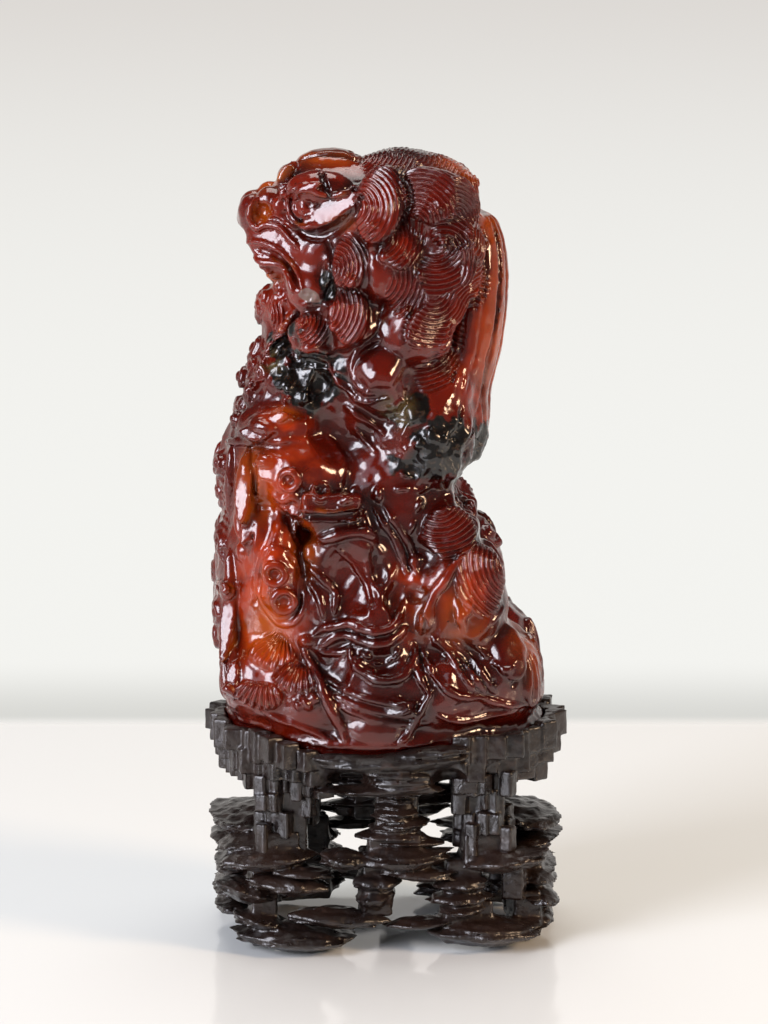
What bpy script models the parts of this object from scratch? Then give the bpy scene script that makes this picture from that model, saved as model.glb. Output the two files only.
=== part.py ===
"""Carved amber guardian lion in the fitted dish of an openwork hardwood stand.

Lengths below are in millimetres and the meshes are made in metres, with +Z up. The origin is on the
surface that the stand rests on, under its middle. The lion looks along -X and its left side is at -Y.
"""

import math
import random

import bmesh
import bpy
from mathutils import Matrix, Vector

MM = 0.001
GAP = 0.3  # clearance between pieces that touch

# Stand: an oval dish on four legs, over three tiers of carved rock slabs
DISH_HALF_LENGTH = 29.2
DISH_HALF_DEPTH = 23.4
DISH_SQUARENESS = 2.2
RIM_WALL = 2.0
RIM_TOP = 39.8
RIM_DIP = 3.8
RIM_DIP_X = -2.5
RIM_DIP_HALF_WIDTH = 15.0
RIM_END_FALL = 2.2
DISH_UNDERSIDE = 30.5
SEAT = 33.0
BRICKS = 44
BRICK_ROWS = 3
BRICK_STEP = 0.5
ROW_INSET = 0.9

LEG_TOP = DISH_UNDERSIDE - GAP
LEG_FOOT = 20.3
LEG_X = 16.2
LEG_Y = 15.6
ROCK_HALF_WIDTH = 6.2

UPPER_TIER = (15.6, LEG_FOOT - GAP)
SIDE_SLAB_TOP = 23.0
SIDE_SLAB_X = 21.8
MIDDLE_TIER = (8.7, UPPER_TIER[0] - GAP)
LOWER_TIER = (0.0, MIDDLE_TIER[0] - GAP)
TIER_HALF_LENGTH = 22.2
TIER_HALF_DEPTH = 17.2
STAND_VOXEL = 0.62
TRIM = 1.0  # how far a tier's posts run past its flat faces before they are cut

# Lion: a plug that fits the dish, with the carving above it
PLUG_BOTTOM = SEAT + GAP
LEDGE = 40.7
PLUG_INSET = RIM_WALL + GAP
LION_TOP = 133.0
LION_VOXEL = 1.05

WOOD = ("carved_hardwood", (0.035, 0.024, 0.022), 0.38)
AMBER = ("red_amber", (0.33, 0.045, 0.02), 0.12)


def clear_scene():
    for obj in list(bpy.data.objects):
        bpy.data.objects.remove(obj, do_unlink=True)


def material(name, colour, roughness):
    """The Principled material of this name, made the first time that it is asked for."""
    found = bpy.data.materials.get(name)
    if found:
        return found
    made = bpy.data.materials.new(name)
    made.use_nodes = True
    shader = made.node_tree.nodes["Principled BSDF"]
    shader.inputs["Base Color"].default_value = (*colour, 1.0)
    shader.inputs["Roughness"].default_value = roughness
    shader.inputs["Metallic"].default_value = 0.0
    return made


def object_from(bm, name, finish, origin=(0.0, 0.0, 0.0)):
    """Turns millimetre geometry into a metre object whose own origin is at the given point."""
    bmesh.ops.transform(bm, matrix=Matrix.Translation(-Vector(origin)), verts=bm.verts)
    bmesh.ops.scale(bm, vec=(MM, MM, MM), verts=bm.verts)
    bmesh.ops.recalc_face_normals(bm, faces=bm.faces)
    mesh = bpy.data.meshes.new(name)
    bm.to_mesh(mesh)
    bm.free()
    mesh.materials.append(material(*finish))
    obj = bpy.data.objects.new(name, mesh)
    obj.location = Vector(origin) * MM
    bpy.context.scene.collection.objects.link(obj)
    return obj


def as_cutter(obj):
    obj.hide_render = True
    obj.display_type = "WIRE"
    return obj


def carve(obj, voxel, share, smoothing, keep=None):
    """Melts overlapping shapes into one skin, thins its triangles, and trims it to the keep solid."""
    remesh = obj.modifiers.new("Melt", "REMESH")
    remesh.mode = "VOXEL"
    remesh.voxel_size = voxel * MM
    smooth = obj.modifiers.new("Soften", "SMOOTH")
    smooth.factor = 0.5
    smooth.iterations = smoothing
    thin = obj.modifiers.new("Thin", "DECIMATE")
    thin.ratio = share
    if keep:
        trim = obj.modifiers.new("Trim", "BOOLEAN")
        trim.operation = "INTERSECT"
        trim.solver = "EXACT"
        trim.object = keep
    return obj


def ball(bm, centre, radii, tilt=0.0, turn=0.0):
    """An ellipsoid, tilted in the XZ plane and turned about Z, in degrees."""
    matrix = (
        Matrix.Translation(centre)
        @ Matrix.Rotation(math.radians(turn), 4, "Z")
        @ Matrix.Rotation(math.radians(tilt), 4, "Y")
        @ Matrix.Diagonal((*radii, 1.0))
    )
    bmesh.ops.create_icosphere(bm, subdivisions=3, radius=1.0, matrix=matrix)


def pair(bm, centre, radii, tilt=0.0, turn=0.0):
    """The same ellipsoid on the lion's left and right sides."""
    x, y, z = centre
    ball(bm, (x, -y, z), radii, tilt, turn)
    ball(bm, (x, y, z), radii, tilt, -turn)


def block(bm, low, high):
    """A box between two corners."""
    low, high = Vector(low), Vector(high)
    matrix = Matrix.Translation((low + high) / 2) @ Matrix.Diagonal((*(high - low), 1.0))
    bmesh.ops.create_cube(bm, size=1.0, matrix=matrix)


def slab(bm, centre, length, width, thickness, turn, pitch=0.0):
    """A leaf of rock: pointed at both ends in plan, and thin along its edges."""
    made = bmesh.ops.create_icosphere(bm, subdivisions=3, radius=1.0)["verts"]
    for vert in made:
        taper = max(0.0, 1.0 - vert.co.x**2) ** 0.25
        vert.co.y *= taper
        vert.co.z = math.copysign(abs(vert.co.z) ** 0.8, vert.co.z) * taper
    matrix = (
        Matrix.Translation(centre)
        @ Matrix.Rotation(math.radians(turn), 4, "Z")
        @ Matrix.Rotation(math.radians(pitch), 4, "Y")
        @ Matrix.Diagonal((length / 2, width / 2, thickness / 2, 1.0))
    )
    bmesh.ops.transform(bm, matrix=matrix, verts=made)


def oval(angle, half_length, half_depth, squareness=DISH_SQUARENESS):
    """The point of a superellipse in this direction from its middle."""
    c, s = math.cos(angle), math.sin(angle)
    radius = (abs(c / half_length) ** squareness + abs(s / half_depth) ** squareness) ** (-1 / squareness)
    return Vector((radius * c, radius * s, 0.0))


def loft(bm, rings):
    """Joins rings of points with equal counts, and caps the first and the last."""
    loops = [[bm.verts.new(point) for point in ring] for ring in rings]
    for low, high in zip(loops, loops[1:]):
        for i in range(len(low)):
            j = (i + 1) % len(low)
            bm.faces.new((low[i], low[j], high[j], high[i]))
    bm.faces.new(reversed(loops[0]))
    bm.faces.new(loops[-1])


def rim_height(x, y):
    """The rim's top edge: it dips at the middle of the front and back, and falls towards both ends."""
    across = min(1.0, abs((x - RIM_DIP_X) / RIM_DIP_HALF_WIDTH))
    dip = RIM_DIP * (0.5 + 0.5 * math.cos(math.pi * across)) * min(1.0, abs(y) / DISH_HALF_DEPTH)
    return RIM_TOP - dip - RIM_END_FALL * (x / DISH_HALF_LENGTH) ** 4


def dish_angles():
    """Four directions for each brick: its two corners, and those of the brick in the row above it."""
    step = 2 * math.pi / BRICKS
    return [(brick + share) * step for brick in range(BRICKS) for share in (0.02, 0.48, 0.52, 0.98)]


def brick_ring(row, height_share, draw):
    """One edge of a row of bricks, each brick standing out by its own amount."""
    steps = [draw.uniform(-BRICK_STEP, BRICK_STEP) for _ in range(BRICKS)]
    inset = ROW_INSET * (BRICK_ROWS - 1 - row)
    points = []
    for i, angle in enumerate(dish_angles()):
        brick = (i + 2 * (row % 2)) // 4 % BRICKS
        half_length = DISH_HALF_LENGTH - inset + steps[brick]
        point = oval(angle, half_length, DISH_HALF_DEPTH - inset + steps[brick])
        top = rim_height(point.x, point.y)
        point.z = DISH_UNDERSIDE + (top - DISH_UNDERSIDE) * height_share
        points.append(point)
    return points


def stand_dish():
    """The oval dish: stepped rows of bricks outside, and a flat seat inside a plain wall."""
    rings = []
    for row in range(BRICK_ROWS):
        for share in (row, row + 0.94):
            rings.append(brick_ring(row, share / BRICK_ROWS, random.Random(row)))
    top_inside, seat_edge = [], []
    for angle in dish_angles():
        point = oval(angle, DISH_HALF_LENGTH - RIM_WALL, DISH_HALF_DEPTH - RIM_WALL)
        top_inside.append(Vector((point.x, point.y, rim_height(point.x, point.y) - GAP)))
        seat_edge.append(Vector((point.x, point.y, SEAT)))
    bm = bmesh.new()
    loft(bm, rings + [top_inside, seat_edge])
    return object_from(bm, "stand_dish", WOOD)


def stand_leg(name, side_x, side_y):
    """A leg of upright bars of different lengths and depths, standing on the upper tier."""
    draw = random.Random(name)
    bars = 4
    bm = bmesh.new()
    for column in range(bars):
        for row in range(2):
            x = side_x * (LEG_X + (column - (bars - 1) / 2) * 2.1)
            y = side_y * (LEG_Y - row * 2.6 - 0.5 * abs(column - 1) + draw.uniform(-0.4, 0.4))
            low = LEG_FOOT + draw.uniform(0.0, 1.2) * (column % 2)
            half = 1.3 + draw.uniform(0.0, 0.25)
            block(bm, (x - half, y - 1.7, low), (x + half, y + 1.7, LEG_TOP))
    leg = object_from(bm, name, WOOD)
    return carve(leg, STAND_VOXEL * 0.8, 0.08, 0)


def stand_centre_rock(name, side_y):
    """A pillar of level slabs between the legs, widening where it meets the dish and the tier."""
    draw = random.Random(name)
    layers = 5
    bm = bmesh.new()
    middle = side_y * 14.0
    block(bm, (1.8 - 3.2, middle - 2.4, LEG_FOOT), (1.8 + 3.2, middle + 2.4, LEG_TOP))
    for layer in range(layers):
        z = LEG_FOOT + 1.5 + layer * (LEG_TOP - LEG_FOOT - 3.0) / (layers - 1)
        length = 2 * ROCK_HALF_WIDTH + draw.uniform(-2.0, 2.0)
        slab(bm, (1.8 + draw.uniform(-0.8, 0.8), middle, z), length, 8.0, 2.2, draw.uniform(-6, 6))
    rock = object_from(bm, name, WOOD)
    return carve(rock, STAND_VOXEL, 0.12, 0)


def tier_slabs(bm, levels, count, seed):
    """Slabs laid end over end round the oval, one course on each level."""
    draw = random.Random(seed)
    for course, z in enumerate(levels):
        for i in range(count):
            angle = 2 * math.pi * (i + 0.5 * (course % 2)) / count
            grow = draw.uniform(-0.6, 1.2)
            at = oval(angle, TIER_HALF_LENGTH + grow, TIER_HALF_DEPTH + grow)
            ahead = oval(angle + 0.05, TIER_HALF_LENGTH + grow, TIER_HALF_DEPTH + grow) - at
            turn = math.degrees(math.atan2(ahead.y, ahead.x)) + draw.uniform(-9.0, 9.0)
            length = draw.uniform(22.0, 27.0)
            slab(bm, (at.x, at.y, z), length, draw.uniform(8.5, 10.5), 4.2, turn, draw.uniform(-4.0, 4.0))


def tier_posts(bm, low, high, angles, half=3.0):
    """Short posts that carry one tier on the next."""
    for angle in angles:
        at = oval(math.radians(angle), TIER_HALF_LENGTH - 1.0, TIER_HALF_DEPTH - 1.0)
        block(bm, (at.x - half, at.y - half, low), (at.x + half, at.y + half, high))


def level_slice(name, low, high, side_high):
    """Trims a tier flat below and above, except that its two ends may rise higher outside the legs."""
    wide, deep = 40.0, 35.0
    notch = [(SIDE_SLAB_X, side_high), (SIDE_SLAB_X, high), (-SIDE_SLAB_X, high), (-SIDE_SLAB_X, side_high)]
    outline = [(-wide, low), (wide, low), (wide, side_high)]
    outline += notch if side_high > high else []
    outline.append((-wide, side_high))
    bm = bmesh.new()
    loft(bm, [[Vector((x, y, z)) for x, z in outline] for y in (-deep, deep)])
    return as_cutter(object_from(bm, name, WOOD))


def side_slabs(bm):
    """The tilted slabs that rise at the two ends of the upper tier, outside the legs."""
    for side in (-1, 1):
        slab(bm, (side * 23.9, -2.0, 20.0), 27.0, 12.0, 5.0, 90 + side * 6)
        slab(bm, (side * 24.6, 3.0, 18.2), 25.0, 10.0, 4.4, 90 - side * 8)


def foot_slabs(bm):
    """One slanting slab at each corner, which the trim cuts flat where the stand rests on it."""
    for side_x in (-1, 1):
        for side_y in (-1, 1):
            centre = (side_x * 16.5, side_y * 14.3, 1.9)
            slab(bm, centre, 23.0, 13.0, 5.6, -side_x * side_y * 23.0)


def stand_tier(name, heights, levels, count, post_angles, seed, extra=None, side_high=None):
    """One open ring of rock slabs with the posts that touch its neighbours."""
    low, high = heights
    bm = bmesh.new()
    tier_slabs(bm, levels, count, seed)
    tier_posts(bm, low - TRIM, high + TRIM, post_angles)
    if extra:
        extra(bm)
    tier = object_from(bm, name, WOOD)
    trim = level_slice(f"{name}_trim", low, high, side_high or high)
    return carve(tier, STAND_VOXEL, 0.045, 0, keep=trim)


def lion_masses(bm):
    """The trunk, from the plug in the dish up to the neck."""
    ball(bm, (-0.5, 0.0, 42.0), (27.0, 21.5, 10.0))
    ball(bm, (-0.5, 0.0, 35.0), (28.5, 22.5, 8.0))
    ball(bm, (-5.0, 0.0, 56.0), (22.5, 18.5, 20.0))
    ball(bm, (-19.5, 0.0, 59.0), (9.3, 15.0, 23.0))
    ball(bm, (-15.5, 0.0, 80.0), (12.5, 14.0, 13.0), tilt=15.0)
    ball(bm, (-13.0, 0.0, 93.0), (10.0, 11.5, 11.0))
    ball(bm, (-1.0, 0.0, 97.0), (14.5, 13.5, 18.0))
    ball(bm, (0.5, 0.0, 74.0), (14.5, 15.5, 17.0))


def lion_haunches(bm):
    """The seated hind legs, their paws, and the folds round the foot of the carving."""
    pair(bm, (8.5, 8.0, 56.5), (11.0, 10.5, 12.0), tilt=20.0)
    pair(bm, (10.0, 11.5, 64.0), (5.4, 6.0, 5.2))
    pair(bm, (15.0, 11.0, 56.0), (4.6, 7.0, 7.4), tilt=25.0)
    pair(bm, (17.0, 8.0, 46.0), (9.0, 10.0, 9.5))
    pair(bm, (-1.0, 13.0, 55.0), (5.0, 7.5, 16.0), tilt=-20.0)
    pair(bm, (-19.0, 11.0, 45.0), (8.0, 9.0, 8.5))
    pair(bm, (-13.0, 15.0, 43.0), (6.0, 6.0, 6.0))
    pair(bm, (-1.0, 16.0, 46.0), (8.0, 6.0, 8.0))
    pair(bm, (9.0, 16.0, 45.0), (8.0, 5.5, 6.5))


def lion_chest(bm):
    """The collar and the scroll bosses on the chest and flanks."""
    pair(bm, (-17.5, 8.0, 88.0), (7.0, 6.5, 4.0))
    pair(bm, (-14.5, 11.5, 80.0), (9.0, 5.5, 6.0))
    pair(bm, (-18.0, 13.0, 66.0), (4.5, 4.5, 9.0), tilt=-10.0)
    pair(bm, (-9.0, 14.0, 74.0), (5.5, 4.0, 3.5))
    pair(bm, (-6.5, 14.0, 66.0), (6.5, 4.5, 8.0))
    pair(bm, (-0.5, 11.5, 95.5), (4.4, 4.4, 4.2))
    pair(bm, (7.0, 10.0, 86.0), (8.0, 5.5, 9.0), tilt=15.0)


def lion_head(bm):
    """The head in profile: skull, brow, muzzle, open jaws and cheeks."""
    ball(bm, (-9.0, 0.0, 119.8), (12.0, 11.5, 11.8))
    ball(bm, (-17.8, 0.0, 117.6), (6.6, 7.5, 6.6))
    ball(bm, (-21.3, 0.0, 121.8), (3.2, 5.2, 3.1))
    ball(bm, (-14.8, 0.0, 107.8), (6.0, 7.0, 4.2), tilt=-25.0)
    ball(bm, (-17.3, 0.0, 102.0), (3.0, 5.0, 5.5))
    pair(bm, (-12.3, 7.8, 125.5), (5.2, 3.8, 3.2))
    pair(bm, (-13.6, 8.2, 121.0), (2.6, 2.6, 2.6))
    pair(bm, (-11.6, 8.4, 110.5), (4.4, 4.0, 4.4))


def lion_mane(bm):
    """The mass of hair behind the face, with its curled locks."""
    ball(bm, (2.8, 0.0, 116.3), (15.3, 13.0, 16.2))
    for x, y, z, radius in (
        (-2.5, 11.0, 122.5, 5.8),
        (8.0, 9.5, 124.0, 6.6),
        (0.8, 13.0, 114.5, 5.6),
        (10.5, 11.0, 117.0, 5.4),
        (-5.3, 11.8, 114.0, 4.6),
        (-6.0, 12.0, 105.5, 4.6),
        (-11.8, 10.5, 103.0, 4.0),
        (7.0, 12.0, 110.5, 5.6),
        (4.5, 12.5, 104.0, 5.8),
        (9.0, 8.0, 94.0, 5.5),
    ):
        pair(bm, (x, y, z), (radius, radius * 0.72, radius))


def lion_tail(bm):
    """The tall fluted tail that stands up against the back."""
    ball(bm, (13.8, 0.0, 104.0), (6.3, 9.5, 19.0), tilt=8.0)
    ball(bm, (11.0, 0.0, 88.0), (6.5, 9.5, 12.5), tilt=8.0)


def lion_envelope():
    """Where the lion may be: inside the dish up to the ledge, and anywhere above it."""
    sides = 72
    angles = [2 * math.pi * i / sides for i in range(sides)]
    inset = PLUG_INSET
    outlines = (
        (PLUG_BOTTOM, DISH_HALF_LENGTH - inset, DISH_HALF_DEPTH - inset),
        (LEDGE, DISH_HALF_LENGTH - inset, DISH_HALF_DEPTH - inset),
        (LEDGE, 60.0, 50.0),
        (LION_TOP, 60.0, 50.0),
    )
    rings = []
    for z, half_length, half_depth in outlines:
        rings.append([oval(angle, half_length, half_depth) + Vector((0, 0, z)) for angle in angles])
    bm = bmesh.new()
    loft(bm, rings)
    return as_cutter(object_from(bm, "lion_envelope", AMBER))


def amber_lion():
    """The lion: one solid that lifts straight up out of the dish."""
    bm = bmesh.new()
    for shape in (lion_masses, lion_haunches, lion_chest, lion_head, lion_mane, lion_tail):
        shape(bm)
    lion = object_from(bm, "amber_lion", AMBER, origin=(0.0, 0.0, PLUG_BOTTOM))
    return carve(lion, LION_VOXEL, 0.1, 1, keep=lion_envelope())


def main():
    clear_scene()
    stand_dish()
    for side_y, depth_name in ((-1, "front"), (1, "back")):
        stand_centre_rock(f"stand_{depth_name}_rock", side_y)
        for side_x, side_name in ((-1, "left"), (1, "right")):
            stand_leg(f"stand_{depth_name}_{side_name}_leg", side_x, side_y)
    diagonals = (40, 140, 220, 320)
    upper_posts = diagonals + (95, 265)
    middle_posts = (10, 60, 120, 190, 245, 300)
    stand_tier("stand_upper_tier", UPPER_TIER, (17.4, 18.6), 8, upper_posts, 11, side_slabs, SIDE_SLAB_TOP)
    stand_tier("stand_middle_tier", MIDDLE_TIER, (10.7, 13.2), 8, middle_posts, 12)
    stand_tier("stand_lower_tier", LOWER_TIER, (5.6,), 8, diagonals, 13, foot_slabs)
    amber_lion()


main()
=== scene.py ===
"""Looks of the carved amber guardian lion and its fretted hardwood stand.

Both are carved here from blocks of digital clay: a grid of signed distances that shapes are added to
and cut from, skinned with a mesh, and engraved with fine hair lines. Lengths inside the carving are in
millimetres, in the frame's own axes: the lion looks along -X, its left side is at -Y, and +Z is up.
"""

import math

import bpy
import numpy as np
from mathutils import Matrix, Vector


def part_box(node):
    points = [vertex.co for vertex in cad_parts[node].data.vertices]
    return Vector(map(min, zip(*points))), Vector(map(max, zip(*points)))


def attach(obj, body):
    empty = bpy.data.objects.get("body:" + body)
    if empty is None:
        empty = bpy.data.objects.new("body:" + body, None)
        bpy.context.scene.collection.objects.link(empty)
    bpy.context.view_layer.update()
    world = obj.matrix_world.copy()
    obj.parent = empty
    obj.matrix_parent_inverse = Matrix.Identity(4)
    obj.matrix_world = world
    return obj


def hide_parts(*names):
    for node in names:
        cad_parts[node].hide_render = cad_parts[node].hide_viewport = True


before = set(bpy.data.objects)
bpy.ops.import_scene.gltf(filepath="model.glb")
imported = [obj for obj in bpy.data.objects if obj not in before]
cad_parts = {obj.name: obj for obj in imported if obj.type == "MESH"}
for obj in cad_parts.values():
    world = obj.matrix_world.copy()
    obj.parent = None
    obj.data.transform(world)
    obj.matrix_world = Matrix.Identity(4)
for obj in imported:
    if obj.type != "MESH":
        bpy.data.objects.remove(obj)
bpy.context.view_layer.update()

MM = 0.001
FAR = 60.0
SKIRT = 3.0  # how far past a shape its distances are written

LION_STEP = 0.37
STAND_STEP = 0.36
LION_LOW = (-31.0, -24.5, 33.0)
LION_HIGH = (29.5, 24.5, 134.0)

# How a feature is looked at when it is put on the surface: towards, right and up
VIEWS = {
    "left": ((0, 1, 0), (1, 0, 0), (0, 0, 1)),
    "right": ((0, -1, 0), (1, 0, 0), (0, 0, 1)),
    "front": ((1, 0, 0), (0, 1, 0), (0, 0, 1)),
    "back": ((-1, 0, 0), (0, 1, 0), (0, 0, 1)),
    "top": ((0, 0, -1), (1, 0, 0), (0, 1, 0)),
}
FLANKS = ("left", "right")

# Where the camera and the middle of the window's light stand, in millimetres
CAMERA = np.array((0.0, -785.3, 219.6))
WINDOW = np.array((-850.0, -750.0, 480.0))

# The dish: a squarish oval with this power, its levels, and the half sizes of its outlines
OVAL_POWER = 2.2
RIM_LEVEL = 37.9
RIM_DIP = 2.6
SEAT_LEVEL = 33.0
UNDERSIDE_LEVEL = 30.4
DISH_HALF = (28.0, 22.2)
SEAT_HALF = (27.0, 21.2)
PLUG_HALF = (26.7, 20.9)


# ---------------------------------------------------------------- clay

def unit(v):
    v = np.asarray(v, float)
    return v / max(np.linalg.norm(v), 1e-9)


def smooth_min(a, b, blend):
    if blend <= 0:
        return np.minimum(a, b)
    share = np.clip(0.5 + 0.5 * (b - a) / blend, 0, 1)
    return b + (a - b) * share - blend * share * (1 - share)


def curve(points, steps=6):
    """Points along a smooth curve through the given points."""
    p = np.asarray(points, float)
    p = np.vstack([2 * p[0] - p[1], p, 2 * p[-1] - p[-2]])
    t = np.linspace(0, 1, steps, endpoint=False)[:, None]
    spans = []
    for a, b, c, d in zip(p[:-3], p[1:-2], p[2:-1], p[3:]):
        spans.append(0.5 * (2 * b + (c - a) * t + (2 * a - 5 * b + 4 * c - d) * t**2
                            + (3 * b - a - 3 * c + d) * t**3))
    return np.vstack(spans + [p[-2:-1]])


def waves(points, length, seed):
    """Smooth irregular values between about -1 and 1 that change over the given length."""
    count = 14
    rng = np.random.default_rng(seed)
    directions = rng.normal(size=(count, 3))
    directions /= np.linalg.norm(directions, axis=1)[:, None]
    pitch = length * rng.uniform(0.7, 1.5, count)
    phase = rng.uniform(0, 2 * math.pi, count)
    total = np.zeros(len(points))
    for d, l, s in zip(directions, pitch, phase):
        total += np.sin(points @ d * (2 * math.pi / l) + s)
    return total / math.sqrt(count)


def glint(view, x, z):
    """The facing that throws the window's light to the camera from a place on the left flank.

    For the right flank it is the mirror image of that.
    """
    flank = -13.0
    spot = np.array((x, flank, z))
    facing = unit(unit(WINDOW - spot) + unit(CAMERA - spot))
    return facing * (1, -1, 1) if view == "right" else facing


class Clay:
    """A block of signed distances, negative inside, with its hair patterns and polished flats."""

    def __init__(self, low, high, step):
        self.low = np.asarray(low, float)
        self.step = step
        self.size = np.ceil((np.asarray(high) - self.low) / step).astype(int) + 1
        self.field = np.full(self.size, FAR, np.float32)
        self.hair = []
        self.flats = []

    def window(self, low, high):
        """The part of the grid between two corners, and the coordinates of its points."""
        first = np.floor((np.asarray(low) - self.low) / self.step).astype(int)
        first = np.clip(first, 0, self.size - 2)
        last = np.ceil((np.asarray(high) - self.low) / self.step).astype(int)
        last = np.clip(last + 1, first + 2, self.size)
        where = tuple(slice(a, b) for a, b in zip(first, last))
        axes = [self.low[k] + self.step * np.arange(first[k], last[k]) for k in range(3)]
        grids = np.meshgrid(*axes, indexing="ij", sparse=True)
        return where, [g.astype(np.float32) for g in grids]

    def everywhere(self):
        """The whole grid and its coordinates."""
        return self.window(self.low, self.low + self.step * self.size)

    def add(self, where, shape, blend):
        self.field[where] = smooth_min(self.field[where], shape, blend)

    def cut(self, where, shape, blend):
        self.field[where] = -smooth_min(-self.field[where], shape, blend)

    def sample(self, points):
        """The field at any points, between its grid values."""
        at = (np.asarray(points, float) - self.low) / self.step
        at = np.clip(at, 0, self.size - 1.001)
        cell = at.astype(int)
        f = at - cell
        total = np.zeros(len(at))
        for dx in (0, 1):
            wx = f[:, 0] if dx else 1 - f[:, 0]
            for dy in (0, 1):
                wy = wx * (f[:, 1] if dy else 1 - f[:, 1])
                for dz in (0, 1):
                    w = wy * (f[:, 2] if dz else 1 - f[:, 2])
                    total += w * self.field[cell[:, 0] + dx, cell[:, 1] + dy, cell[:, 2] + dz]
        return total

    def slope(self, points, reach):
        """The direction in which the field grows, measured over the given reach."""
        made = np.empty((len(points), 3))
        for k in range(3):
            offset = np.zeros(3)
            offset[k] = reach
            made[:, k] = self.sample(points + offset) - self.sample(points - offset)
        return made / (2 * reach)

    def spots(self, view, places):
        """Where the surface is first met at each (right, up) place of a view, its normals, and
        the numbers of the places where it was met."""
        normal_reach = 1.3
        half_travel = 45
        travel_height = 95.0 if view == "top" else 0.0
        towards, right, up = (np.array(v, float) for v in VIEWS[view])
        travel = np.arange(-half_travel, half_travel, self.step / 2)
        base = travel_height * np.array((0, 0, 1.0))
        found, kept = [], []
        for i, (a, b) in enumerate(places):
            line = base + a * right + b * up + travel[:, None] * towards
            values = self.sample(line)
            inside = np.nonzero(values < 0)[0]
            if len(inside) == 0 or inside[0] == 0:
                continue
            j = inside[0]
            share = values[j - 1] / (values[j - 1] - values[j])
            found.append(line[j - 1] + share * (line[j] - line[j - 1]))
            kept.append(i)
        found = np.array(found).reshape(-1, 3)
        normals = self.slope(found, normal_reach) if len(found) else found
        normals = normals / np.maximum(np.linalg.norm(normals, axis=1), 1e-6)[:, None]
        return found, normals, kept

    def ball(self, centre, radii, tilt=0.0, blend=1.5, axes=None, carve=False):
        """Adds or cuts an ellipsoid, tilted in XZ by degrees, or on given axes."""
        if axes is None:
            c, s = math.cos(math.radians(tilt)), math.sin(math.radians(tilt))
            axes = np.array([(c, 0, -s), (0, 1, 0), (s, 0, c)])
        radii = np.asarray(radii, float)
        extent = np.sqrt(((radii[:, None] * axes) ** 2).sum(0)) + SKIRT + blend
        centre = np.asarray(centre, float)
        where, (x, y, z) = self.window(centre - extent, centre + extent)
        x, y, z = x - centre[0], y - centre[1], z - centre[2]
        near, far = 0.0, 0.0
        for r, axis in zip(radii, axes):
            along = axis[0] * x + axis[1] * y + axis[2] * z
            near = near + (along / r) ** 2
            far = far + (along / r**2) ** 2
        near = np.sqrt(near)
        shape = near * (near - 1) / np.maximum(np.sqrt(far), 1e-6)
        shape = shape.astype(np.float32)
        (self.cut if carve else self.add)(where, shape, blend)

    def rope(self, points, radii, blend=0.4, carve=False):
        """Adds or cuts a round bar that runs through the points, with a radius at each."""
        points = np.asarray(points, float)
        radii = np.broadcast_to(np.asarray(radii, float), (len(points),))
        margin = radii.max() + SKIRT * 0.7 + blend
        outer, _ = self.window(points.min(0) - margin, points.max(0) + margin)
        shape = np.full([s.stop - s.start for s in outer], FAR, np.float32)
        for p, q, rp, rq in zip(points[:-1], points[1:], radii[:-1], radii[1:]):
            where, (x, y, z) = self.window(np.minimum(p, q) - margin, np.maximum(p, q) + margin)
            d = q - p
            x, y, z = x - p[0], y - p[1], z - p[2]
            t = (x * d[0] + y * d[1] + z * d[2]) / max(d @ d, 1e-9)
            t = np.clip(t, 0, 1)
            away = np.sqrt((x - t * d[0]) ** 2 + (y - t * d[1]) ** 2 + (z - t * d[2]) ** 2)
            inner = tuple(slice(w.start - o.start, w.stop - o.start) for w, o in zip(where, outer))
            shape[inner] = np.minimum(shape[inner], away - (rp + (rq - rp) * t))
        (self.cut if carve else self.add)(outer, shape, blend)

    def local(self, centre, half, yaw, tilt):
        """The grid window round a box-like shape and the coordinates along its own axes."""
        turn = Matrix.Rotation(math.radians(yaw), 3, "Z")
        turn = turn @ Matrix.Rotation(math.radians(-tilt), 3, "Y")
        axes = np.array(turn).T
        centre = np.asarray(centre, float)
        extent = np.abs(axes.T) @ np.asarray(half, float) + SKIRT * 0.5 + 0.3
        where, (x, y, z) = self.window(centre - extent, centre + extent)
        x, y, z = x - centre[0], y - centre[1], z - centre[2]
        return where, [a[0] * x + a[1] * y + a[2] * z for a in axes]

    def brick(self, centre, half, yaw=0.0, tilt=0.0, edge=0.15, blend=0.12, carve=False):
        """A block with slightly rounded edges."""
        where, along = self.local(centre, half, yaw, tilt)
        over = [np.abs(a) - (h - edge) for a, h in zip(along, half)]
        outside = np.sqrt(sum(np.maximum(o, 0) ** 2 for o in over))
        shape = outside + np.minimum(np.maximum(np.maximum(over[0], over[1]), over[2]), 0) - edge
        (self.cut if carve else self.add)(where, shape.astype(np.float32), blend)

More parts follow.
